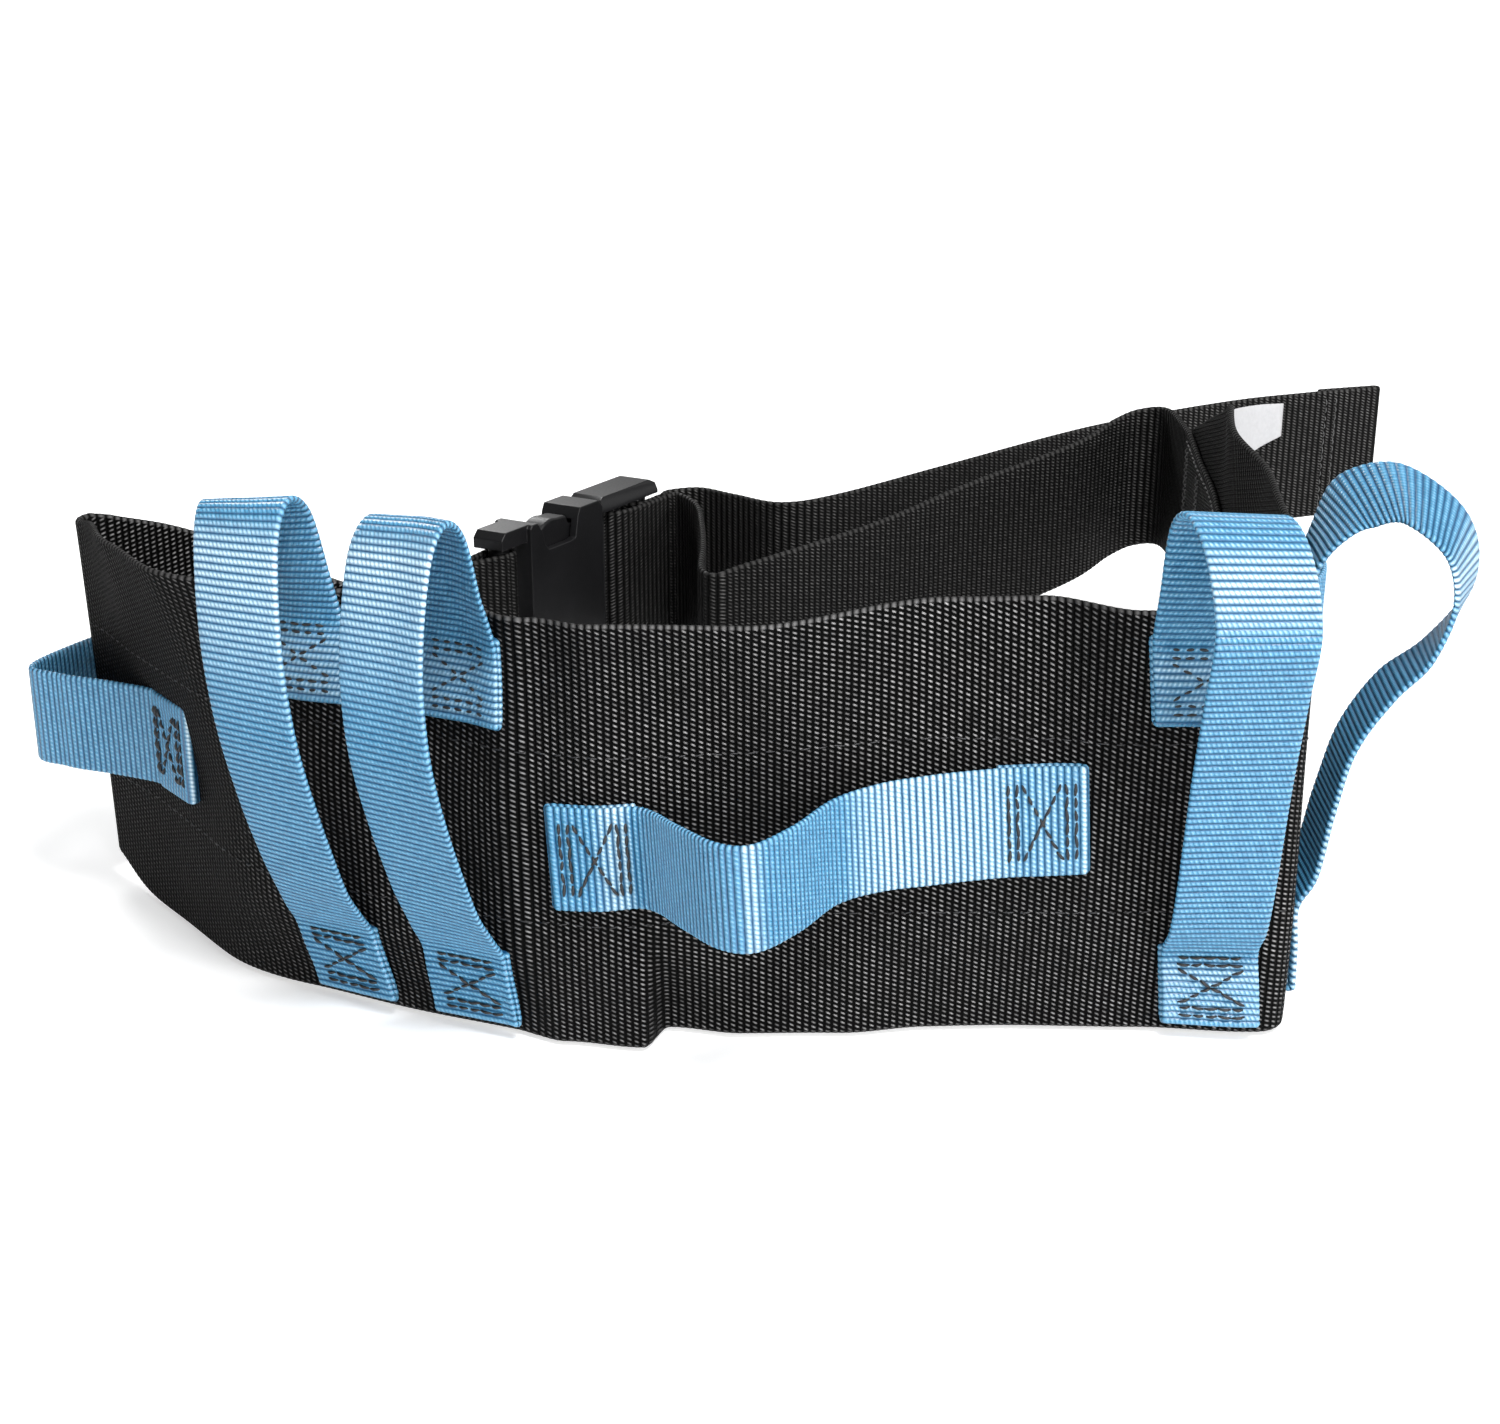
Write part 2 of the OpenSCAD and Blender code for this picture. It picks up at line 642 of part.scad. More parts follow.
module grip_outer_buckle_side_ends() color("#3fa0d6")
    upright_place(0) upright_ends(upright_out, bow_buckle_side);
module grip_inner_buckle_side_ends() color("#3fa0d6")
    upright_place(1) upright_ends(upright_out, bow_buckle_side);
module grip_inner_strap_side_ends() color("#3fa0d6")
    upright_place(2) upright_ends(upright_out, bow_strap_side);
module grip_outer_strap_side_ends() color("#3fa0d6") wing_place() upright_ends(side_out, bow_wing);
module grip_outer_buckle_side() color("#3fa0d6")
    upright_place(0) upright_loop(upright_out, bow_buckle_side);
module grip_inner_buckle_side() color("#3fa0d6")
    upright_place(1) upright_loop(upright_out, bow_buckle_side);
module grip_inner_strap_side() color("#3fa0d6")
    upright_place(2) upright_loop(upright_out, bow_strap_side);
module grip_outer_strap_side() color("#3fa0d6") wing_place() upright_loop(side_out, bow_wing);

panel_back();
panel_strap_wing();
belt_inner();
belt_strap_wing();
buckle_web_loop();
load_strap();
plug_web_wrap();
strap_tail();
buckle_socket();
buckle_plug();
latch_arm_upper();
latch_arm_lower();
grip_outer_buckle_side_ends();
grip_inner_buckle_side_ends();
grip_inner_strap_side_ends();
grip_outer_strap_side_ends();
grip_middle_ends();
grip_buckle_end_ends();
grip_strap_end_ends();
grip_outer_buckle_side();
grip_inner_buckle_side();
grip_inner_strap_side();
grip_outer_strap_side();
grip_middle();
grip_buckle_end();
grip_strap_end();
grip_stitching_back();
grip_stitching_wing();
edge_stitching_back();
edge_stitching_wing();
seam_stitching_buckle();
seam_stitching_strap();
tail_stitching();
care_label();
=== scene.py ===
import math

import bmesh
import bpy
import numpy as np
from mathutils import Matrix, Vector


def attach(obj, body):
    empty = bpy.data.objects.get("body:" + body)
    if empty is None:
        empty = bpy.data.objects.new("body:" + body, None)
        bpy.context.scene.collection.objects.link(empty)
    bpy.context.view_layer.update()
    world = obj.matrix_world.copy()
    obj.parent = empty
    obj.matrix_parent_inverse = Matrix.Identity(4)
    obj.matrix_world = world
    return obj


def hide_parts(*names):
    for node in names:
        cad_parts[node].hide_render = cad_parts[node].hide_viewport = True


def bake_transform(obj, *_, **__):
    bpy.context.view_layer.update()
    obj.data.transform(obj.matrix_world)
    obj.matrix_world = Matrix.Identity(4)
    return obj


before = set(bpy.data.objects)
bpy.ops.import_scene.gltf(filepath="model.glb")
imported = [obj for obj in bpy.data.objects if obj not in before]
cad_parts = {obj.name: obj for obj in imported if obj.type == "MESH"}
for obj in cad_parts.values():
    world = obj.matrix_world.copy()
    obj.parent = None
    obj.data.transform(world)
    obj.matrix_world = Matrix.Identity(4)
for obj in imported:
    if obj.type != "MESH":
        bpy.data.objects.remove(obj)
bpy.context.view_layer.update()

# Shapes are worked out in millimetres and scaled to metres when a mesh is made.
MM = 0.001

# ---- sizes, the same as in the CAD part ----

PANEL_H = 102.0
BELT_H = 45.0
GRIP_W = 25.0
UPRIGHT_W = 22.0
WEB_T = 1.9
GRIP_T = 1.6
GAP = 0.2
LAYER = WEB_T + GAP
MID_Z = PANEL_H / 2
FACE = WEB_T / 2 + GAP
FOOT_T = 2 * GRIP_T + GAP
FOOT_LEN = 20.0
LOOP_N = FACE + FOOT_T - GRIP_T / 2
BUCKLE_CREASE = 67.5
STRAP_CREASE = 108.5
FOLD_BACK = 64.0
STRAP_RISE = 20.0
CREASE_TURN = 86.5
CREASE_R = 6.5
TAPER_LEN = 68.0
NARROW_HALF = BELT_H / 2 + 1
BUCKLE_HEADING = 60.0
BAR_REACH = 53.0
SEAM_HEADING = 54.0
SOCKET_LEN = 44.0
PLUG_LEN = 32.0
PLUG_X = SOCKET_LEN + 0.6
PLUG_END = PLUG_X + PLUG_LEN
WEB_EXIT = PLUG_END + 3
LOAD_Y = -6.1
TAIL_Y = -4.0
TAIL_GAP = 1.0

# ---- weave sizes ----

PANEL_RIB = 1.7
BELT_RIB = 2.3
GRIP_RIB = 1.6


# ---- paths in plan ----


def smooth(t):
    """0 below 0, 1 above 1 and an even curve between."""
    t = np.clip(t, 0.0, 1.0)
    return t * t * (3 - 2 * t)


def walk(start, legs, arc_step=2.0, straight_step=3.0):
    """Stations [x, y, heading, rise] along legs of [length, turn, radius, climb per mm]."""
    x, y, heading, rise = start
    stations = [(x, y, heading, rise)]
    for length, turn, radius, climb in legs:
        for _ in range(max(1, round(length / straight_step)) if length > 0 else 0):
            d = length / max(1, round(length / straight_step))
            x += d * math.cos(math.radians(heading))
            y += d * math.sin(math.radians(heading))
            rise += climb * d
            stations.append((x, y, heading, rise))
        count = math.ceil(abs(turn) / arc_step)
        for _ in range(count):
            step = turn / count
            side = math.copysign(1, turn)
            before, after = math.radians(heading), math.radians(heading + step)
            x += side * radius * (math.sin(after) - math.sin(before))
            y -= side * radius * (math.cos(after) - math.cos(before))
            heading += step
            rise += climb * radius * math.radians(abs(step))
            stations.append((x, y, heading, rise))
    return stations


def turned_round(stations):
    return [(x, y, h - 180, r) for x, y, h, r in reversed(stations)]


def curve(points, n=24):
    """Catmull-Rom through [a, b, c] points, as stations [a, b, heading, c]."""
    p = np.array(points, float)
    p = np.vstack([2 * p[0] - p[1], p, 2 * p[-1] - p[-2]])
    out = []
    for i in range(1, len(p) - 2):
        a, b, c, d = p[i - 1], p[i], p[i + 1], p[i + 2]
        for t in np.arange(n) / n if i < len(p) - 3 else np.arange(n + 1) / n:
            square, cube = 2 * a - 5 * b + 4 * c - d, 3 * b - a - 3 * c + d
            q = 0.5 * (2 * b + (c - a) * t + square * t**2 + cube * t**3)
            v = 0.5 * ((c - a) + 2 * square * t + 3 * cube * t**2)
            out.append((q[0], q[1], math.degrees(math.atan2(v[1], v[0])), q[2]))
    return out


class Line:
    """A path that can be read at any distance along it."""

    def __init__(self, stations):
        a = np.array(stations, float)
        step = np.hypot(np.diff(a[:, 0]), np.diff(a[:, 1]))
        a = a[np.r_[True, step > 1e-6]]
        a[:, 2] = np.degrees(np.unwrap(np.radians(a[:, 2])))
        self.a = a
        self.s = np.r_[0, np.cumsum(np.hypot(np.diff(a[:, 0]), np.diff(a[:, 1])))]
        self.length = float(self.s[-1])

    def at(self, s):
        """x, y, heading in radians and rise, for a number or an array."""
        x, y, h, r = (np.interp(s, self.s, self.a[:, k]) for k in range(4))
        return x, y, np.radians(h), r


# ---- lie of the panel: distance u is 0 at the middle of the back ----

buckle_side = walk((0, 0, 180, 0), [
    (BUCKLE_CREASE - 3, -24.8, 14, 0),
    (58, -28, 60, 0),
    (64, -118, 5, 0),
    (FOLD_BACK, 0, 1, 0),
])
TO_MIDDLE = Line(buckle_side).length
wing_len = 150 + 1900 * math.radians(2)
strap_side = walk((0, 0, 0, 0), [
    (STRAP_CREASE - CREASE_R * math.tan(math.radians(CREASE_TURN / 2)), CREASE_TURN, CREASE_R, 0),
    (150, 2, 1900, STRAP_RISE / wing_len),
])
PANEL = Line(turned_round(buckle_side) + strap_side[1:])
STRAP_END = PANEL.length - TO_MIDDLE
WING_START = STRAP_END - wing_len - CREASE_R * math.radians(CREASE_TURN / 2 - 5)


def eased(x, knots):
    """Value at x of a curve that is level at each (x, value) knot."""
    xs, ys = (np.array(q, float) for q in zip(*knots))
    x = np.clip(x, xs[0], xs[-1])
    k = np.clip(np.searchsorted(xs, x) - 1, 0, len(xs) - 2)
    return ys[k] + (ys[k + 1] - ys[k]) * smooth((x - xs[k]) / (xs[k + 1] - xs[k]))


# how far the slack panel stands out of its plan line, as (distance u, mm)
UPPER_EDGE_OUT = [
    (-224, 3), (-185, 10), (-158, 13), (-122, 3), (-100, -1), (-78, 0), (-64, 5), (-50, 11), (-18, 11),
    (30, -11), (50, -12), (70, 0), (105, 0), (150, 2), (200, 2), (240, -2), (300, 1),
]
BELLY_OUT = [(-165, 0), (-125, 6), (-66, 5), (-46, 8), (-8, 0)]
LOWER_EDGE_OUT = [
    (-70, 0), (-58, 5), (-40, 8), (-34.5, -2.5), (-18, 1), (5, 0), (25, -3), (75, -3), (100, 0),
]


def swell(u, z):
    """How far the soft panel stands out of its plan line at distance u and height z."""
    high = np.clip((z - 40) / 62, 0, 1.1) ** 1.4
    middle = smooth(z / 26) * smooth((96 - z) / 44)
    low = smooth((32 - z) / 32)
    out = high * eased(u, UPPER_EDGE_OUT) + middle * eased(u, BELLY_OUT) + low * eased(u, LOWER_EDGE_OUT)
    ripple = 0.35 * np.sin(u / 9.0 + z / 31) + 0.3 * np.sin(u / 14.7 - z / 17 + 1.3)
    near_end = smooth((u + TO_MIDDLE) / 40) * smooth((STRAP_END - u) / 40)
    return (out + ripple) * near_end


def near(out):
    """How much of the panel's swell a point that stands out from it follows."""
    return 1 - 0.75 * smooth((out - 5) / 30)


def host(u, out, z):
    """A point held by the panel: u along it, out from its plan line, z above its lower edge."""
    x, y, h, rise = PANEL.at(u + TO_MIDDLE)
    out = out + swell(u, z) * near(out)
    return np.stack(np.broadcast_arrays(x + out * np.sin(h), y - out * np.cos(h), z + rise), -1)


# ---- webbing made as a mesh: s along it, v across it, n through its thickness (+n is the inside) ----


def standing(line, base_z):
    def surface(s, v, n):
        x, y, h, rise = line.at(s)
        return np.stack([x - n * np.sin(h), y + n * np.cos(h), rise + base_z + v], -1)

    return surface


def on_panel(offset):
    """Surface of a layer sewn to the panel, offset towards the inside; s is distance u."""

    def surface(s, v, n):
        return host(s, -(offset + n), MID_Z + v)

    return surface


def upright(u0, profile, lean, twist, twist_from):
    """Surface of a grip whose profile is a line in (out, height) and whose width lies along the panel.

    lean moves it along the panel by so much for each mm of height and for each mm it stands out. Its free
    part is turned about its own line by up to twist degrees, from the height twist_from up.
    """

    def surface(s, v, n):
        out, z, h, _ = profile.at(s)
        free = smooth((out - LOOP_N) / 11) * smooth((z - twist_from) / 35)
        turn = math.radians(twist) * free
        along = v * np.cos(turn) + lean[0] * (z - 13) + lean[1] * (out - LOOP_N)
        depth = n + v * np.sin(turn)
        out = out - depth * np.sin(h)
        z = z + depth * np.cos(h)
        x, y, heading, rise = PANEL.at(u0 + TO_MIDDLE)
        out = out + swell(u0 + along, z) * near(out)
        return np.stack([
            x + along * np.cos(heading) + out * np.sin(heading),
            y + along * np.sin(heading) - out * np.cos(heading),
            z + rise,
        ], -1)

    return surface


def rib_profile(s, pitch):
    return np.abs(np.sin(np.pi * s / pitch)) ** 0.7


def webbing(name, surface, s0, s1, half, thickness, rib, across, material, rib_depth=0.22, samples=4,
            press=None, corner=0.0):
    """A closed strip of ribbed webbing with rounded edges.

    half(s) gives (low, high) across, samples is how many rings each rib gets, press(s, v) moves the strip
    through its thickness, and corner rounds its ends.
    """
    count = max(8, int((s1 - s0) / rib * samples))
    s = np.linspace(s0, s1, count + 1)
    edge_n = 5
    t = thickness / 2
    cross = [(f, -1.0) for f in np.linspace(-1, 1, across + 1)]
    cross += [("high", a) for a in np.linspace(-90, 90, edge_n + 2)[1:-1]]
    cross += [(f, 1.0) for f in np.linspace(1, -1, across + 1)]
    cross += [("low", a) for a in np.linspace(90, 270, edge_n + 2)[1:-1]]
    ribs = rib_profile(s, rib)
    low, high = (np.broadcast_to(e, s.shape).astype(float) for e in half(s))
    if corner:
        d = np.minimum(s - s0, s1 - s)
        cut = np.where(d < corner, corner - np.sqrt(np.maximum(0, corner**2 - (corner - d) ** 2)), 0)
        low, high = low + cut, high - cut
    body = t - rib_depth * (1 - ribs)
    rings, weave = [], []
    for kind, value in cross:
        if kind == "high":
            a = math.radians(value)
            v = high - t + (t + 0.12 * ribs) * math.cos(a)
            n = body * math.sin(a)
        elif kind == "low":
            a = math.radians(value)
            v = low + t + (t + 0.12 * ribs) * math.cos(a)
            n = body * math.sin(a)
        else:
            v = (low + t) * (1 - kind) / 2 + (high - t) * (1 + kind) / 2
            n = body * value
        if press is not None:
            n = n + press(s, v)
        rings.append(surface(s, v, n))
        edge = np.minimum(v - low, high - v)
        weave.append(np.stack([s, v, edge], -1))
    points = np.stack(rings, 1)
    coords = np.stack(weave, 1)
    m = len(cross)
    verts = points.reshape(-1, 3)
    i = np.arange(count)[:, None] * m
    k = np.arange(m)[None, :]
    quads = np.stack([i + k, i + (k + 1) % m, i + m + (k + 1) % m, i + m + k], -1).reshape(-1, 4)
    first = list(range(m))[::-1]
    last = [count * m + j for j in range(m)]
    faces = quads.tolist() + cap_faces(first) + cap_faces(last)
    obj = make_object(name, verts, faces, material)
    zero = np.zeros(len(s))
    lay = np.gradient(surface(s, zero, zero), axis=0)
    lay /= np.linalg.norm(lay, axis=1)[:, None]
    for label, values in (("weave", coords), ("lay", np.repeat(lay, m, axis=0))):
        attribute = obj.data.attributes.new(label, "FLOAT_VECTOR", "POINT")
        attribute.data.foreach_set("vector", values.reshape(-1).astype(np.float32))
    return obj


def cap_faces(ring):
    """Quads and triangles that close a strip's end, joining its two faces."""
    faces = []
    left, right = 0, len(ring) - 1
    while right - left > 2:
        faces.append([ring[left], ring[left + 1], ring[right - 1], ring[right]])
        left, right = left + 1, right - 1
    if right - left == 2:
        faces.append([ring[left], ring[left + 1], ring[right]])
    return faces


def make_object(name, verts_mm, faces, material, shade_smooth=True):
    mesh = bpy.data.meshes.new(name)
    mesh.from_pydata((np.asarray(verts_mm, float) * MM).tolist(), [], faces)
    mesh.validate()
    bm = bmesh.new()
    bm.from_mesh(mesh)
    bmesh.ops.recalc_face_normals(bm, faces=bm.faces)
    bm.to_mesh(mesh)
    bm.free()
    for polygon in mesh.polygons:
        polygon.use_smooth = shade_smooth
    obj = bpy.data.objects.new(name, mesh)
    bpy.context.scene.collection.objects.link(obj)
    if material is not None:
        mesh.materials.append(material)
    return obj


STITCH_SIDES = 6
STITCH_RINGS = 6


class Thread:
    """Collects arched stitches into one mesh."""

    def __init__(self, radius=0.4, lift=0.34):
        self.verts, self.faces = [], []
        self.radius, self.lift = radius, lift

    def stitch(self, surface, a, b, n):
        """One stitch from (s, v) a to b, lying on the face at n."""
        side = math.copysign(1, n)
        t = np.linspace(0, 1, STITCH_RINGS)
        s = a[0] + (b[0] - a[0]) * t
        v = a[1] + (b[1] - a[1]) * t
        arch = np.sin(np.pi * t)
        depth = n + side * (self.lift * arch - 0.3 * (1 - arch))
        centre = surface(s, v, depth)
        up = surface(s, v, depth + side * 0.5) - centre
        up /= np.linalg.norm(up, axis=1)[:, None]
        along = np.gradient(centre, axis=0)
        along /= np.linalg.norm(along, axis=1)[:, None]
        beside = np.cross(along, up)
        base = len(self.verts)
        thick = self.radius * (0.75 + 0.25 * arch)
        for k in range(STITCH_SIDES):
            angle = math.tau * k / STITCH_SIDES
            ring = centre + thick[:, None] * (math.cos(angle) * beside + math.sin(angle) * up)
            self.verts.extend(ring.tolist())
        lines = [base + STITCH_RINGS * k for k in range(STITCH_SIDES)]
        for p, q in zip(lines, lines[1:] + lines[:1]):
            for j in range(STITCH_RINGS - 1):
                self.faces.append([p + j, q + j, q + j + 1, p + j + 1])
        self.faces.append(lines)
        self.faces.append([p + STITCH_RINGS - 1 for p in reversed(lines)])

    def row(self, surface, a, b, n, length=2.6, gap=0.35):
        """A straight row of stitches from (s, v) a to b."""
        a, b = np.array(a, float), np.array(b, float)
        total = np.linalg.norm(b - a)
        count = max(1, round(total / (length + gap)))
        for i in range(count):
            p = a + (b - a) * (i + 0.5 * gap / length) / count
            q = a + (b - a) * (i + 1 - 0.5 * gap / length) / count
            wander = 0.22 * np.array([math.sin(7.1 * q[0] + 3.3 * q[1]), math.sin(5.3 * q[0] - 4.7 * q[1])])
            self.stitch(surface, p - wander, q + wander, n)

    def build(self, name, material):
        return make_object(name, self.verts, self.faces, material)


# ---- materials ----


class Num:
    """A number in a shader tree, so that a pattern can be written as arithmetic."""

    def __init__(self, tree, socket):
        self.tree, self.socket = tree, socket

    def math(self, operation, *others):
        node = self.tree.nodes.new("ShaderNodeMath")
        node.operation = operation
        for slot, value in zip(node.inputs, (self, *others)):
            if isinstance(value, Num):
                self.tree.links.new(value.socket, slot)
            else:
                slot.default_value = value
        return Num(self.tree, node.outputs[0])

    def __add__(self, other):
        return self.math("ADD", other)

    def __sub__(self, other):
        return self.math("SUBTRACT", other)

    def __mul__(self, other):
        return self.math("MULTIPLY", other)

    def __truediv__(self, other):
        return self.math("DIVIDE", other)

    def floor(self):
        return self.math("FLOOR")

    def fract(self):
        return self.math("FRACT")

    def square(self):
        return self * self

    def one_minus(self):
        return (self * -1.0) + 1.0

    def clamp(self):
        return self.math("MAXIMUM", 0.0).math("MINIMUM", 1.0)


def new_material(name):
    material = bpy.data.materials.new(name)
    material.use_nodes = True
    tree = material.node_tree
    return material, tree, tree.nodes["Principled BSDF"]


def mix_colour(tree, factor, dark, light):
    node = tree.nodes.new("ShaderNodeMix")
    node.data_type = "RGBA"
    tree.links.new(factor.socket, node.inputs[0])
    for socket, value in ((node.inputs[6], dark), (node.inputs[7], light)):
        if isinstance(value, tuple):
            socket.default_value = (*value, 1.0)
        else:
            tree.links.new(value, socket)
    return node.outputs[2]


def bump(tree, shader, height, distance, strength=1.0):
    node = tree.nodes.new("ShaderNodeBump")
    node.inputs["Strength"].default_value = strength
    node.inputs["Distance"].default_value = distance
    tree.links.new(height.socket, node.inputs["Height"])
    tree.links.new(node.outputs["Normal"], shader.inputs["Normal"])


def noise(tree, scale, vector=None, detail=2.0):
    node = tree.nodes.new("ShaderNodeTexNoise")
    node.inputs["Scale"].default_value = scale
    node.inputs["Detail"].default_value = detail
    if vector is None:
        coords = tree.nodes.new("ShaderNodeTexCoord")
        vector = coords.outputs["Object"]
    tree.links.new(vector, node.inputs["Vector"])
    return Num(tree, node.outputs["Fac"])


def dot(tree, vector, direction):
    """How far a vector points along a direction, whichever way round."""
    node = tree.nodes.new("ShaderNodeVectorMath")
    node.operation = "DOT_PRODUCT"
    tree.links.new(vector, node.inputs[0])
    node.inputs[1].default_value = direction
    return Num(tree, node.outputs["Value"]).math("ABSOLUTE")


def cell_random(tree, a, b):
    pair = tree.nodes.new("ShaderNodeCombineXYZ")
    tree.links.new(a.socket, pair.inputs[0])
    tree.links.new(b.socket, pair.inputs[1])
    node = tree.nodes.new("ShaderNodeTexWhiteNoise")
    node.noise_dimensions = "2D"
    tree.links.new(pair.outputs[0], node.inputs["Vector"])
    return Num(tree, node.outputs["Value"])


def webbing_material(name, gap, yarn_colour, glint, rib, yarn, slant, evenness, glint_share, shine,
                     roughness, specular, depth):
    """Webbing: ribs across it, each a row of slanted yarns with glints painted into the base colour as highlights,
    and a cord at its edges.

    gap is painted shade in the gaps between the ribs and between the yarns; evenness is how little the gaps
    between the yarns of a rib show beside the gaps between the ribs.
    shine is how much painted highlight the filaments get where they lie square to the light, as on a bend.
    """
    material, tree, shader = new_material(name)
    attribute = tree.nodes.new("ShaderNodeAttribute")
    attribute.attribute_name = "weave"
    split = tree.nodes.new("ShaderNodeSeparateXYZ")
    tree.links.new(attribute.outputs["Vector"], split.inputs[0])
    along, across, edge = (Num(tree, split.outputs[k]) for k in range(3))
    row = (along / rib).floor()
    in_row = (along / rib).fract() - 0.5
    stagger = (row * 0.5).fract()
    column = across / yarn + stagger + in_row * slant
    in_column = column.fract() - 0.5
    ridge = (in_row * 2.0).square().one_minus()
    yarn_round = (in_column * 2.0).square().one_minus().clamp()
    floats = ridge * (yarn_round.math("POWER", 0.6) * (1 - evenness) + evenness)
    at_edge = ((edge - 0.9) * -3.0).clamp()
    height = floats * at_edge.one_minus() + ridge * at_edge
    random = cell_random(tree, row, column.floor())
    fine = noise(tree, 2600.0, detail=1.0)
    broad = noise(tree, 22.0, detail=2.0)
    lay = tree.nodes.new("ShaderNodeAttribute")
    lay.attribute_name = "lay"
    # painted light: how squarely the surface faces GLINT_FROM sets how bright the painted glints are
    facing = dot(tree, tree.nodes.new("ShaderNodeNewGeometry").outputs["Normal"], GLINT_FROM)
    # painted highlight on bends, where the strap's lay lies square to GLINT_FROM
    square = (dot(tree, lay.outputs["Vector"], GLINT_FROM) * -2.4).math("ADD", 1.0).clamp() * facing
    # painted glints: slanted streaks on the yarns and dots on the edge cord, dimmed where the surface turns from
    # the light
    streak = (in_column * 4.2).square().one_minus().clamp() * ((in_row * 3.0).square().one_minus().clamp())
    lit = (streak * (random * 0.7 + 0.45)).clamp() * at_edge.one_minus() + ridge.square() * at_edge * 0.4
    lit = lit * (facing.square() * 0.85 + 0.15)
    # painted shade: the gap colour darkens the gaps between ribs and yarns; random gives each yarn its own tone
    body = mix_colour(tree, (height * 0.85 + random * 0.15).clamp(), gap, yarn_colour)
    # share of the glint colour, a painted highlight, mixed over the base colour
    share = lit * (broad * 0.8 + 0.6) * glint_share + square * height.square() * (broad * 1.2 + 0.4) * shine
    share = share.clamp()
    tree.links.new(mix_colour(tree, share, body, glint), shader.inputs["Base Color"])
    rough = (random * 0.16 + roughness) + fine * 0.06
    tree.links.new(rough.clamp().socket, shader.inputs["Roughness"])
    shader.inputs["Specular IOR Level"].default_value = specular
    bump(tree, shader, height + fine * 0.12, depth)
    return material


def thread_material(name, colour, light):
    material, tree, shader = new_material(name)
    twist = noise(tree, 3000.0, detail=1.0)
    tree.links.new(mix_colour(tree, twist, colour, light), shader.inputs["Base Color"])
    shader.inputs["Roughness"].default_value = 0.5
    bump(tree, shader, twist, 0.0001, 0.6)
    return material


def plastic_material(name):
    material, tree, shader = new_material(name)
    grain = noise(tree, 1500.0, detail=3.0)
    broad = noise(tree, 60.0, detail=2.0)
    colour = mix_colour(tree, broad, (0.004, 0.004, 0.0045), (0.009, 0.009, 0.010))
    shader.inputs["Specular IOR Level"].default_value = 0.35
    tree.links.new(colour, shader.inputs["Base Color"])
    rough = grain * 0.12 + broad * 0.08 + 0.34
    tree.links.new(rough.socket, shader.inputs["Roughness"])
    bump(tree, shader, grain, 0.00006, 0.5)
    return material


def label_material(name):
    material, tree, shader = new_material(name)
    fibre = noise(tree, 900.0, detail=3.0)
    # painted shade: the label cloth is white, and its grey colour here stands in for shade
    tree.links.new(mix_colour(tree, fibre, (0.4, 0.4, 0.41), (0.5, 0.5, 0.51)), shader.inputs["Base Color"])
    shader.inputs["Roughness"].default_value = 0.6
    bump(tree, shader, fibre, 0.00008, 0.5)
    return material


# direction the painted glints and shine are lit from: halfway between the lit side of the studio and the camera
GLINT_FROM = (0.25, -0.9, 0.34)
# for each webbing, gap is the colour of the painted shade between ribs and glint the colour of the painted
# highlights
PANEL_WEB = webbing_material(
    "panel_webbing", gap=(0.0008, 0.0008, 0.0008), yarn_colour=(0.003, 0.003, 0.003),
    glint=(0.62, 0.61, 0.61), rib=PANEL_RIB, yarn=1.2, slant=0.6, evenness=0.0, glint_share=0.5, shine=0.0,
    roughness=0.6, specular=0.05, depth=0.0004,
)
BELT_WEB = webbing_material(
    "belt_webbing", gap=(0.001, 0.001, 0.001), yarn_colour=(0.008, 0.008, 0.008), glint=(0.26, 0.255, 0.25),
    rib=BELT_RIB, yarn=1.0, slant=1.0, evenness=0.3, glint_share=0.5, shine=0.04,
    roughness=0.5, specular=0.08, depth=0.0006,
)
BLUE_WEB = webbing_material(
    "grip_webbing", gap=(0.002, 0.05, 0.15), yarn_colour=(0.07, 0.31, 0.52), glint=(0.8, 0.95, 1.0),
    rib=GRIP_RIB, yarn=1.1, slant=0.55, evenness=0.6, glint_share=0.3, shine=0.75,
    roughness=0.27, specular=0.7, depth=0.0005,
)
BLACK_THREAD = thread_material("black_thread", (0.004, 0.004, 0.005), (0.02, 0.02, 0.022))
GREY_THREAD = thread_material("grey_thread", (0.03, 0.03, 0.03), (0.12, 0.12, 0.12))
BUCKLE = plastic_material("buckle_plastic")
LABEL = label_material("label_cloth")


# ---- panel and inner belt ----


def panel_half(s):
    """The panel's edges: narrow at both ends, and drawn in a little where it is folded round."""
    to_end = np.minimum(s + TO_MIDDLE, STRAP_END - s)
    half = np.minimum(PANEL_H / 2, NARROW_HALF + (PANEL_H / 2 - NARROW_HALF) * to_end / TAPER_LEN)
    drawn_in = np.exp(-(((s + 227) / 16) ** 2))
    return -half + 7 * drawn_in, half - 4 * drawn_in


def belt_half(s):
    return -BELT_H / 2, BELT_H / 2


CREASE_FROM = host(STRAP_CREASE - 9, 0, MID_Z) * MM
CREASE_TO = host(STRAP_CREASE + 6.5, 0, MID_Z) * MM

panel = webbing("panel", on_panel(0), -TO_MIDDLE, STRAP_END, panel_half, WEB_T, PANEL_RIB, 26, PANEL_WEB,
                rib_depth=0.12)
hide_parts("panel_back", "panel_strap_wing")
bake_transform(panel)

belt = webbing("inner_belt", on_panel(LAYER), -TO_MIDDLE, STRAP_END, belt_half, WEB_T, BELT_RIB,
               12, BELT_WEB)
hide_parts("belt_inner", "belt_strap_wing")
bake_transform(belt)

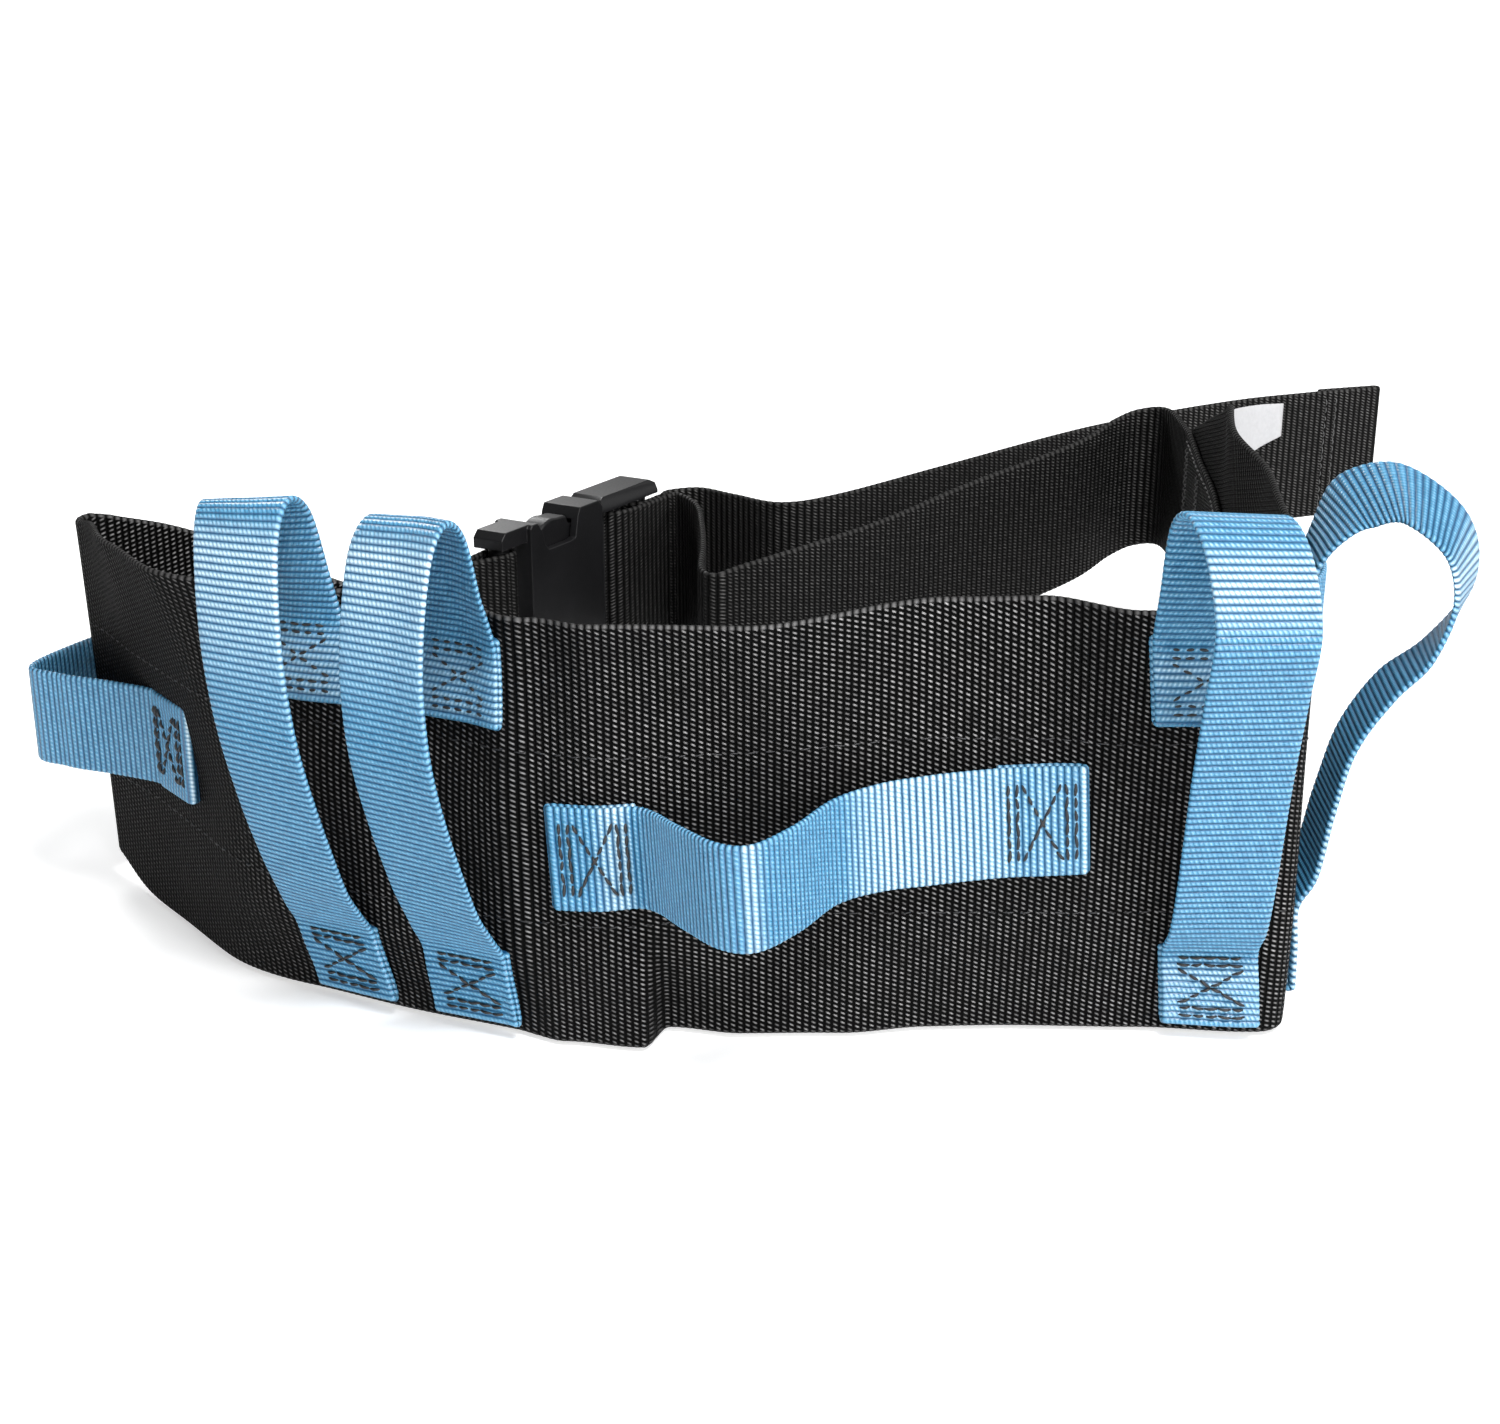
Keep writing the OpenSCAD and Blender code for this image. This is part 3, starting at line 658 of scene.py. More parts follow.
# rows of stitches along both edges of the inner belt, seen on both sides of the panel
INNER_FACE = WEB_T / 2
ROW_IN = 2.2
rows = Thread(radius=0.24, lift=0.22)
for v in (-BELT_H / 2 + ROW_IN, BELT_H / 2 - ROW_IN):
    rows.row(on_panel(LAYER), (-TO_MIDDLE + 2, v), (STRAP_END - 2, v), INNER_FACE, 3.0, 0.9)
edge_stitching = rows.build("edge_stitching", GREY_THREAD)
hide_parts("edge_stitching_back", "edge_stitching_wing")
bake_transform(edge_stitching)

outer_rows = Thread(radius=0.2, lift=0.12)
for v in (-BELT_H / 2 + ROW_IN, BELT_H / 2 - ROW_IN):
    outer_rows.row(on_panel(0), (-TO_MIDDLE + 2, v), (STRAP_END - 2, v), -INNER_FACE, 3.0, 0.9)
outer_stitching = outer_rows.build("edge_stitching_outer", BLACK_THREAD)
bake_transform(outer_stitching)


# ---- grips ----


BOX_STITCH = (2.7, 0.12)
BOX_LONG = 8.6
BOX_WIDE = 9.8
STITCH_N = GRIP_T / 2 - 0.2


def box_cross(thread, surface, s_mid, n, web_w=GRIP_W):
    """Two bars at each end of a sewn box and a cross between them."""
    long, wide = (FOOT_LEN - 5) / 2, (web_w - 7) / 2
    for s in (-long, -long + 2, long - 2, long):
        thread.row(surface, (s_mid + s, -wide), (s_mid + s, wide), n, *BOX_STITCH)
    reach = long - 3
    for sign in (-1, 1):
        thread.row(surface, (s_mid - reach, -sign * wide), (s_mid + reach, sign * wide), n, *BOX_STITCH)


def foot_press(centres):
    """Stitched boxes pull the outer face in a little, which leaves a raised rim."""

    def press(s, v):
        pulled = np.zeros_like(s)
        for c in centres:
            inside = smooth((BOX_LONG - np.abs(s - c)) / 1.2) * smooth((BOX_WIDE - np.abs(v)) / 1.2)
            pulled = pulled + 0.22 * inside
        return pulled

    return press


def grip_half(s):
    return -GRIP_W / 2, GRIP_W / 2


def upright_half(s):
    return -UPRIGHT_W / 2, UPRIGHT_W / 2


def fold_stations(a, b, towards, n=10):
    """Half circle in plan from point a to point b, bulging along the unit vector towards."""
    a, b, towards = (np.array(p, float) for p in (a, b, towards))
    mid, radius = (a + b) / 2, np.linalg.norm(b - a) / 2
    start = (a - mid) / radius
    out = []
    for t in np.linspace(0, math.pi, n + 1)[1:-1]:
        out.append(mid + radius * (math.cos(t) * start + math.sin(t) * towards))
    return out


def line_through(points, rises=None):
    """A Line through dense (x, y) points, with headings from their differences."""
    p = np.array(points, float)
    d = np.gradient(p, axis=0)
    heading = np.degrees(np.arctan2(d[:, 1], d[:, 0]))
    rise = np.zeros(len(p)) if rises is None else np.array(rises, float)
    return Line(np.column_stack([p, heading, rise]))


UNDER_N = FACE + GRIP_T / 2


# the free part of an upright grip, as (share of how far it stands out, height)
BOW_TOP = [(0.83, 120), (0.62, 126), (0.4, 122), (0.23, 108)]
BOW_BUCKLE_SIDE = [(0.24, 29), (0.5, 42), (0.88, 69), (1, 88), (0.97, 104)] + BOW_TOP
BOW_STRAP_SIDE = [
    (0.23, 29), (0.36, 42), (0.58, 69), (0.78, 90),
    (0.94, 107), (0.84, 121.5), (0.62, 128), (0.4, 124), (0.23, 108),
]
BOW_WING = [
    (0.2, 30), (0.29, 45), (0.4, 60), (0.6, 73), (0.83, 83),
    (1, 97), (0.94, 109), (0.64, 116), (0.37, 113), (0.21, 106),
]


def upright_profile(out, bow, lower=(3, 23), upper=(77, 97)):
    """(out, height) line of an upright grip, from its folded-under layer round to the other one."""
    free = [(share * out, z, 0) for share, z in bow]
    middle = curve([
        (LOOP_N, lower[0] + 1, 0), (LOOP_N, lower[0] + 10, 0), (LOOP_N, lower[1] - 1, 0), *free,
        (LOOP_N, upper[1] - 1, 0), (LOOP_N, upper[0] + 9, 0), (LOOP_N, upper[0] + 1, 0),
    ])
    under_low = [(UNDER_N, z) for z in np.linspace(lower[1], lower[0] + 1, 12)]
    under_high = [(UNDER_N, z) for z in np.linspace(upper[0] + 1, upper[1], 12)]
    outer = [(a, b) for a, b, _, _ in middle]
    points = under_low + fold_stations(under_low[-1], outer[0], (0, -1)) + outer
    points += fold_stations(outer[-1], under_high[0], (0, -1)) + under_high
    return line_through(points)


def nearest_s(line, a, b, first=True):
    """Distance along the line of its station nearest (a, b), from the front half or the back half."""
    d = np.hypot(line.a[:, 0] - a, line.a[:, 1] - b)
    half = len(d) // 2
    i = int(np.argmin(d[:half])) if first else half + int(np.argmin(d[half:]))
    return float(line.s[i])


def finish_grip(side, piece, threads, parent, start, end):
    """Hides the CAD model's parts of a grip, bakes the grip in place, and sews it down on its body."""
    name = "grip_" + side
    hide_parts(name, name + "_ends")
    "loop_" + side
    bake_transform(piece)
    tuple(start)
    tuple(end)
    stitching = threads.build(name + "_stitching", BLACK_THREAD)
    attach(stitching, parent)
    return stitching


def make_upright(side, u0, parent, profile, lean, twist, twist_from):
    surface = upright(u0, profile, lean, twist, twist_from)
    low = nearest_s(profile, LOOP_N, 13)
    high = nearest_s(profile, LOOP_N, 87, first=False)
    piece = webbing("grip_" + side, surface, 0, profile.length, upright_half, GRIP_T, GRIP_RIB, 14, BLUE_WEB,
                    press=foot_press((low, high)), corner=0.8)
    threads = Thread()
    for s, n in ((low, -STITCH_N), (high, STITCH_N)):
        box_cross(threads, surface, s, n, UPRIGHT_W)
    start, end = host(u0, 5, 60) * MM, host(u0, 24, 60) * MM
    end = (end[0], end[1], start[2])
    return finish_grip(side, piece, threads, parent, start, end)


stitchings = {"back": [], "strap_wing": []}
# side, place along the panel, body, stand-off, bow, lean, twist and the height it starts from
UPRIGHTS = [
    ("outer_buckle_side", -112.5, "back", 35.0, BOW_BUCKLE_SIDE, (-0.09, 0.2), -6.0, -40.0),
    ("inner_buckle_side", -78.5, "back", 35.0, BOW_BUCKLE_SIDE, (0.0, 0.0), -4.0, -40.0),
    ("inner_strap_side", 90.5, "back", 35.0, BOW_STRAP_SIDE, (-0.09, 0.29), 2.0, -40.0),
    ("outer_strap_side", WING_START + 24, "strap_wing", 37.5, BOW_WING, (0.3, -0.65), -24.0, 70.0),
]
for side, u0, parent, stand_off, bow, lean, twist, twist_from in UPRIGHTS:
    profile = upright_profile(stand_off, bow)
    stitchings[parent].append(make_upright(side, u0, parent, profile, lean, twist, twist_from))


def level_grip(side, surface, length, feet, parent, start, end):
    """The webbing and box stitching of a level grip."""
    piece = webbing("grip_" + side, surface, 0, length, grip_half, GRIP_T, GRIP_RIB, 14, BLUE_WEB,
                    press=foot_press(feet), corner=0.8)
    threads = Thread()
    for s in feet:
        box_cross(threads, surface, s, -STITCH_N)
    return finish_grip(side, piece, threads, parent, start, end)


def with_feet(outer_points, under_first, under_last):
    """Adds the folded-under layers at both ends of a level grip's plan line."""
    first, last = np.array(outer_points[0]), np.array(outer_points[-1])
    back_first = first - np.array(outer_points[1])
    back_last = last - np.array(outer_points[-2])
    points = list(under_first)
    points += fold_stations(under_first[-1], first, back_first / np.linalg.norm(back_first))
    points += list(outer_points)
    points += fold_stations(last, under_last[0], back_last / np.linalg.norm(back_last))
    points += list(under_last)
    return points


MIDDLE_HALF = 60.0
MIDDLE_OUT = 38.0
MIDDLE_TILT = math.radians(3)


def middle_surface(line):
    def surface(s, v, n):
        x, y, h, _ = line.at(s)
        x, y = x - n * np.sin(h), y + n * np.cos(h)
        u = x * math.cos(MIDDLE_TILT) - v * math.sin(MIDDLE_TILT)
        z = MID_Z + x * math.sin(MIDDLE_TILT) + v * math.cos(MIDDLE_TILT)
        return host(u, -y, z)

    return surface


def make_middle():
    half, out = MIDDLE_HALF, MIDDLE_OUT
    middle = curve([
        (-half + 1, -LOOP_N, 0), (-half + 10, -LOOP_N, 0), (-half + FOOT_LEN - 1, -LOOP_N, 0),
        (-36, -9, 0), (-30, -0.6 * out, 0), (-23, -0.91 * out, 0), (-15, -out, 0),
        (-6, -0.76 * out, 0), (3, -0.38 * out, 0), (13, -8.5, 0), (24, -6.5, 0),
        (half - FOOT_LEN + 1, -LOOP_N, 0), (half - 10, -LOOP_N, 0), (half - 1, -LOOP_N, 0),
    ])
    outer = [(a, b) for a, b, _, _ in middle]
    under_first = [(x, -UNDER_N) for x in np.linspace(-half + FOOT_LEN, -half + 1, 12)]
    under_last = [(x, -UNDER_N) for x in np.linspace(half - 1, half - FOOT_LEN, 12)]
    line = line_through(with_feet(outer, under_first, under_last))
    feet = [nearest_s(line, -half + 10, -LOOP_N), nearest_s(line, half - 10, -LOOP_N, first=False)]
    start, end = (0, -0.006, MID_Z * MM), (0, -0.022, MID_Z * MM)
    return level_grip("middle", middle_surface(line), line.length, feet, "back", start, end)


stitchings["back"].append(make_middle())


def end_grip(side, u_first, u_last, outs, parent, start, end):
    """A level grip round the outside of a bend, at distances outs from the panel between its feet."""

    def plan(u, out):
        x, y, h, rise = PANEL.at(u + TO_MIDDLE)
        return x + out * np.sin(h), y - out * np.cos(h), rise

    m = len(outs) + 1
    a, b = u_first + FOOT_LEN / 2, u_last - FOOT_LEN / 2
    points = [plan(u, LOOP_N) for u in np.linspace(u_first - FOOT_LEN / 2 + 1, a, 5)]
    points += [plan(a + (b - a) * k / m, outs[k - 1]) for k in range(1, m)]
    points += [plan(u, LOOP_N) for u in np.linspace(b, u_last + FOOT_LEN / 2 - 1, 5)]
    middle = curve(points)
    outer = [(p[0], p[1]) for p in middle]
    first = [plan(u, UNDER_N) for u in np.linspace(a, u_first - FOOT_LEN / 2 + 1, 12)]
    last = [plan(u, UNDER_N) for u in np.linspace(u_last + FOOT_LEN / 2 - 1, b, 12)]
    rises = [p[2] for p in first] + [first[-1][2]] * 9 + [p[3] for p in middle]
    rises += [last[0][2]] * 9 + [p[2] for p in last]
    line = line_through(with_feet(outer, [p[:2] for p in first], [p[:2] for p in last]), rises)
    feet = [
        nearest_s(line, *plan(u_first, LOOP_N)[:2]),
        nearest_s(line, *plan(u_last, LOOP_N)[:2], first=False),
    ]
    return level_grip(side, standing(line, MID_Z), line.length, feet, parent, start, end)


stitchings["back"].append(end_grip(
    "buckle_end", -TO_MIDDLE + 27, -175.0, [10, 16, 18, 17, 10], "back",
    (-0.172, 0.090, MID_Z * MM), (-0.196, 0.097, MID_Z * MM)))
e_mid = WING_START + (72 + 194) / 2
stitchings["strap_wing"].append(end_grip(
    "strap_end", WING_START + 72, STRAP_END - 27, [10, 18, 25, 24, 10], "strap_wing",
    tuple(host(e_mid, 7, MID_Z + 9) * MM), tuple(host(e_mid, 20, MID_Z + 9) * MM)))
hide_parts("grip_stitching_back")
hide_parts("grip_stitching_wing")


# ---- straps at the buckle ----

seam_x, seam_y, _, _ = PANEL.at(0.0)
BAR = (
    float(seam_x) + BAR_REACH * math.cos(math.radians(SEAM_HEADING)),
    float(seam_y) + BAR_REACH * math.sin(math.radians(SEAM_HEADING)),
)


def from_buckle(x, y, rise=0.0):
    c, s = math.cos(math.radians(BUCKLE_HEADING)), math.sin(math.radians(BUCKLE_HEADING))
    return (BAR[0] + x * c - y * s, BAR[1] + x * s + y * c, rise)


def buckle_space(points):
    """(x along the buckle, y outwards, z from its middle) to the row frame."""
    x, y, z = np.moveaxis(np.asarray(points, float), -1, 0)
    c, s = math.cos(math.radians(BUCKLE_HEADING)), math.sin(math.radians(BUCKLE_HEADING))
    return np.stack([BAR[0] + x * c - y * s, BAR[1] + x * s + y * c, MID_Z + z], -1)


def line_from_bar(points, heading, n):
    """Line through (x, y) points measured from the socket's bar, x along a heading and y to its left."""
    c, s = math.cos(math.radians(heading)), math.sin(math.radians(heading))
    stations = []
    for x, y, h, rise in curve([(x, y, 0) for x, y in points], n):
        stations.append((BAR[0] + x * c - y * s, BAR[1] + x * s + y * c, h + heading, rise))
    return Line(stations)


def belt_length(name, line, s0, s1):
    """A length of the 45 mm belt webbing, standing along a plan line."""
    piece = webbing(name, standing(line, MID_Z), s0, s1, belt_half, WEB_T, BELT_RIB, 12, BELT_WEB)
    return piece


def sew_across(thread, surface, s, margin, n, *stitch):
    """A row of stitches straight across the belt webbing."""
    edge = BELT_H / 2 - margin
    thread.row(surface, (s, -edge), (s, edge), n, *stitch)


# the doubled end that carries the socket
loop_r = 3 + GAP + WEB_T / 2
loop_points = [(-BAR_REACH + 0.6, -LAYER / 2), (-35, -LAYER / 2), (-16, -LAYER / 2 - 0.4)]
for a in range(-110, 111, 10):
    loop_points.append((loop_r * math.cos(math.radians(a)), loop_r * math.sin(math.radians(a))))
loop_points += [(-16, LAYER / 2 + 0.4), (-35, LAYER / 2), (-BAR_REACH + 0.6, LAYER / 2)]
loop_line = line_from_bar(loop_points, SEAM_HEADING, 6)
web_loop = belt_length("buckle_web_loop", loop_line, 0, loop_line.length)
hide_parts("buckle_web_loop")
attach(web_loop, "back")

MID_BAR_X = PLUG_X + 14
END_BAR_X = PLUG_END - 4
wrap_points = [
    (WEB_EXIT, LOAD_Y), (END_BAR_X, LOAD_Y), (MID_BAR_X + 4, LOAD_Y + 0.5), (MID_BAR_X - 3, LOAD_Y + 2),
    (MID_BAR_X - 6, 0), (MID_BAR_X, 2.2 + GAP + WEB_T / 2), (MID_BAR_X + 6, 1),
    (END_BAR_X - 4, TAIL_Y + 0.6), (END_BAR_X, TAIL_Y), (WEB_EXIT, TAIL_Y),
]
wrap_line = line_from_bar(wrap_points, BUCKLE_HEADING, 10)
wrap = belt_length("plug_web_wrap", wrap_line, 0, wrap_line.length)
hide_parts("plug_web_wrap")
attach(wrap, "plug")

end_x, end_y, end_h, _ = (float(q) for q in PANEL.at(PANEL.length))
load_last = (
    end_x + 0.5 * math.cos(end_h) - LAYER * math.sin(end_h),
    end_y + 0.5 * math.sin(end_h) + LAYER * math.cos(end_h),
    STRAP_RISE,
)
load_line = Line(curve([
    from_buckle(WEB_EXIT + 0.4, LOAD_Y), from_buckle(WEB_EXIT + 5, LOAD_Y - 1.5), (-32, 212, 0),
    (-30, 190, 0), (-29, 160, 1), (-29, 136, 1), (-25, 129, 1), (-17, 135, 2), (20, 172, 4), (50, 204, 8),
    (86, 237, 13), (101, 254, 17), (110, 260, 19), (118, 255, STRAP_RISE), load_last,
]))


def load_at(x, y):
    """Distance along the load strap of its station nearest (x, y)."""
    distance = np.hypot(load_line.a[:, 0] - x, load_line.a[:, 1] - y)
    return float(load_line.s[int(np.argmin(distance))])


CUTS = [0.0, load_at(-31, 185), load_at(-25, 129), load_line.length]
strap_pieces = []
for k, name in enumerate(["load_strap_plug", "load_strap_leg", "load_strap"]):
    strap_pieces.append(belt_length(name, load_line, CUTS[k], CUTS[k + 1]))
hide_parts("load_strap")


def centre_at(line, s):
    x, y, _, rise = (float(q) for q in line.at(s))
    return (x * MM, y * MM, (MID_Z + rise) * MM)


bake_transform(strap_pieces[0], "plug", "socket", centre_at(load_line, CUTS[0] + 4), centre_at(load_line, CUTS[1]))
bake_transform(strap_pieces[1], "socket", "back", centre_at(load_line, CUTS[1]), centre_at(load_line, CUTS[2]))
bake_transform(strap_pieces[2])

tail_stations = curve([
    from_buckle(WEB_EXIT + TAIL_GAP, TAIL_Y), from_buckle(WEB_EXIT + 7, TAIL_Y + 0.6), (-31, 232, 0),
    (-20, 223, 0), (-6, 213, 0), (12, 220, 1), (47, 250, 3), (100, 295, 6), (150, 325, 8), (185, 338, 9),
])
tip = tail_stations[-1]
hem = walk(tip, [(24, 178, 0.5 * LAYER, 0), (22, 0, 1, 0)], arc_step=15)
tail_line = Line(tail_stations[:-1] + hem)
tail = belt_length("strap_tail", tail_line, 0, tail_line.length)
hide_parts("strap_tail")
centre_at(tail_line, 1)
centre_at(tail_line, 24)
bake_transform(tail)

tail_thread = Thread(radius=0.24)
tip_s = Line(tail_stations).length
for d in (3, 7):
    sew_across(tail_thread, standing(tail_line, MID_Z), tip_s + d, 2.5, -INNER_FACE)
tail_stitching = tail_thread.build("tail_stitching", GREY_THREAD)
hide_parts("tail_stitching")
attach(tail_stitching, "tail")


# ---- seams ----

seam_thread = Thread(radius=0.26)
for s in (3, 4.4, 8):
    sew_across(seam_thread, standing(loop_line, MID_Z), s, 2.5, -INNER_FACE, 1.6, 0.3)
seam_buckle = seam_thread.build("seam_stitching_buckle", GREY_THREAD)
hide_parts("seam_stitching_buckle")
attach(seam_buckle, "back")

strap_thread = Thread(radius=0.26)
for d in (4, 7, 30, 33):
    sew_across(strap_thread, on_panel(LAYER), STRAP_END - d, 4, INNER_FACE, 1.6, 0.3)
seam_strap = strap_thread.build("seam_stitching_strap", GREY_THREAD)
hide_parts("seam_stitching_strap")
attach(seam_strap, "strap_wing")


# ---- care label ----

label_u = STRAP_END - 48
label_line = curve([(0, FACE + 0.5, 0), (7, FACE + 5, 0), (14, FACE + 12, 0), (18, FACE + 19, 0)], 8)
lx, ly, lh, lr = (float(q) for q in PANEL.at(label_u + TO_MIDDLE))
label_stations = []
for a, b, h, _ in label_line:
    x = lx + a * math.cos(lh) + b * math.sin(lh)
    y = ly + a * math.sin(lh) - b * math.cos(lh)
    label_stations.append((x, y, math.degrees(lh) - h, lr))
label_plan = Line(label_stations)


def label_half(s):
    """The label's edges, cut slantwise along the bottom."""
    return -10.0 + 0.35 * s, 10.0 - 0.05 * s


label = webbing("care_label", standing(label_plan, 84), 0, label_plan.length, label_half, 0.45, 1.0,
                8, LABEL, rib_depth=0.0, samples=1)
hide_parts("care_label")
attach(label, "label")


# ---- buckle: half thicknesses of its parts, and where its side rails start ----

SOCKET_T = 6.5
EAR_T = 5.0
BAY_T = 4.1
FRONT_T = 3.7
RAIL_T = 5.2
TONGUE_T = 3.0
ARM_T = 3.5
RAIL_IN = BELT_H / 2 + 1.5


def outline_block(outline, y0, y1):
    """A closed block from an outline in (x along, z across), between y0 and y1 through the buckle."""
    n = len(outline)
    verts = [(x, y0, z) for x, z in outline] + [(x, y1, z) for x, z in outline]
    faces = [list(range(n)), list(range(n, 2 * n))[::-1]]
    faces += [[k, (k + 1) % n, n + (k + 1) % n, n + k] for k in range(n)]
    return make_object("block", buckle_space(verts), faces, None, shade_smooth=False)


def bar_block(x, y, radius, half, sides=28):
    """A round upright bar at (x, y), reaching half each way from the buckle's middle."""
    angles = [math.tau * k / sides for k in range(sides)]
    ring = [(x + radius * math.cos(a), y + radius * math.sin(a)) for a in angles]
    verts = [(a, b, -half) for a, b in ring] + [(a, b, half) for a, b in ring]
    faces = [list(range(sides)), list(range(sides, 2 * sides))[::-1]]
    faces += [[k, (k + 1) % sides, sides + (k + 1) % sides, sides + k] for k in range(sides)]
    return make_object("block", buckle_space(verts), faces, None, shade_smooth=False)


def combined(base, operation, others):
    """base joined with or cut by the other blocks, which are used up."""
    for other in others:
        modifier = base.modifiers.new("cut", "BOOLEAN")
        modifier.operation, modifier.object, modifier.solver = operation, other, "EXACT"
        bpy.context.view_layer.update()
        evaluated = base.evaluated_get(bpy.context.evaluated_depsgraph_get())
        mesh = bpy.data.meshes.new_from_object(evaluated)
        base.modifiers.clear()
        old, base.data = base.data, mesh
        bpy.data.meshes.remove(old)
        bpy.data.objects.remove(other, do_unlink=True)
    return base


def rounded(obj, name, width, material, segments=3):
    """Names a block and gives it eased edges and a material."""
    obj.name = name
    obj.data.name = name
    bevel = obj.modifiers.new("edges", "BEVEL")
    bevel.width = width * MM
    bevel.segments = segments
    bevel.limit_method = "ANGLE"
    bevel.angle_limit = math.radians(30)
    bevel.use_clamp_overlap = True
    obj.data.materials.clear()
    obj.data.materials.append(material)
    for polygon in obj.data.polygons:
        polygon.use_smooth = True
    normals = obj.modifiers.new("normals", "WEIGHTED_NORMAL")
    normals.keep_sharp = False
    return obj


def mirrored(points):
    return points + [(x, -z) for x, z in reversed(points)]


def arc(cx, cz, r, a0, a1, n=8):
    angles = np.radians(np.linspace(a0, a1, n + 1))
    return [(cx + r * math.cos(a), cz + r * math.sin(a)) for a in angles]


def make_socket():
    side = [
        (7, 28), (8, 29), (10.5, 29), (13, 26), (14.2, 22), (16, 20.2), (24, 20.2), (27, 20.2),
        (29.5, 20.6), (31, 26.8), (32.2, 29), (42, 29), (44, 27),
    ]
    body = outline_block(mirrored(side), -SOCKET_T, SOCKET_T)
    blocks = [bar_block(0, 0, 3, RAIL_IN + 1)]
    for sign in (-1, 1):
        ear = [(-5, RAIL_IN), (-5, 27), (-3, 29), (9, 29), (9, RAIL_IN)]
        blocks.append(outline_block([(x, sign * z) for x, z in ear], -EAR_T, EAR_T))
    combined(body, "UNION", blocks)
    bay = outline_block(mirrored([(10.5, 25.5), (60, 25.5)]), -BAY_T, BAY_T)
    combined(body, "DIFFERENCE", [bay])
    return rounded(body, "buckle_socket", 0.9, BUCKLE)


def make_plug():
    front = [(PLUG_X, -24.6), (PLUG_X, 24.6), (PLUG_X + 4, 24.6), (PLUG_X + 4, -24.6)]
    tongue = [(PLUG_X + 1, -9), (PLUG_X + 1, 9), (18, 5), (16, 3), (16, -3), (18, -5)]
    rail = [
        (PLUG_X, RAIL_IN), (PLUG_X, 28), (PLUG_X + 1.5, 29), (PLUG_END - 5, 29), (PLUG_END - 1.5, 27.5),
        (PLUG_END, 25), (PLUG_END, RAIL_IN),
    ]
    base = outline_block(front, -FRONT_T, FRONT_T)
    blocks = []
    for sign in (-1, 1):
        blocks.append(outline_block([(x, sign * z) for x, z in rail], -RAIL_T, RAIL_T))
    blocks.append(bar_block(MID_BAR_X, 0, 2.2, RAIL_IN + 1))
    blocks.append(bar_block(END_BAR_X, 1.4, 3.9, RAIL_IN + 1))
    blocks.append(outline_block(tongue, -TONGUE_T, TONGUE_T))
    combined(base, "UNION", blocks)
    return rounded(base, "buckle_plug", 0.8, BUCKLE)


def make_arm(sign, name):
    outline = [(43.4, 19.8), (43.4, 24.2), (30.5, 24.2), (29.2, 26.9)]
    outline += arc(22, 18.5, 9, 75, 160, 10)
    outline += [(13, 17.2), (26, 19.4)]
    arm = outline_block([(x, sign * z) for x, z in outline], -ARM_T, ARM_T)
    return rounded(arm, name, 0.7, BUCKLE)


for piece, node, body in (
    (make_socket(), "buckle_socket", "socket"),
    (make_plug(), "buckle_plug", "plug"),
    (make_arm(1, "latch_arm_upper"), "latch_arm_upper", "latch_upper"),
    (make_arm(-1, "latch_arm_lower"), "latch_arm_lower", "latch_lower"),
):
    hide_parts(node)
    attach(piece, body)


# ---- floor, light and camera ----


def make_floor():
    mesh = bpy.data.meshes.new("floor")
    size, z = 6.0, -0.0012
    corners = [(-size, -size, z), (size, -size, z), (size, size, z), (-size, size, z)]
    mesh.from_pydata(corners, [], [(0, 1, 2, 3)])
    floor = bpy.data.objects.new("floor", mesh)
    bpy.context.scene.collection.objects.link(floor)
    material, tree, shader = new_material("floor")
    shader.inputs["Base Color"].default_value = (0.9, 0.9, 0.9, 1)
    shader.inputs["Emission Color"].default_value = (1, 1, 1, 1)
    place = tree.nodes.new("ShaderNodeNewGeometry")
    distance = tree.nodes.new("ShaderNodeVectorMath")
    distance.operation = "LENGTH"
    tree.links.new(place.outputs["Position"], distance.inputs[0])
    far = ((Num(tree, distance.outputs["Value"]) - 0.35) * 0.8).clamp()
    path = tree.nodes.new("ShaderNodeLightPath")
    seen = Num(tree, path.outputs["Is Camera Ray"])
    tree.links.new((far * seen * 0.5 + seen * 0.15 + 0.25).socket, shader.inputs["Emission Strength"])
    shader.inputs["Roughness"].default_value = 0.9
    mesh.materials.append(material)


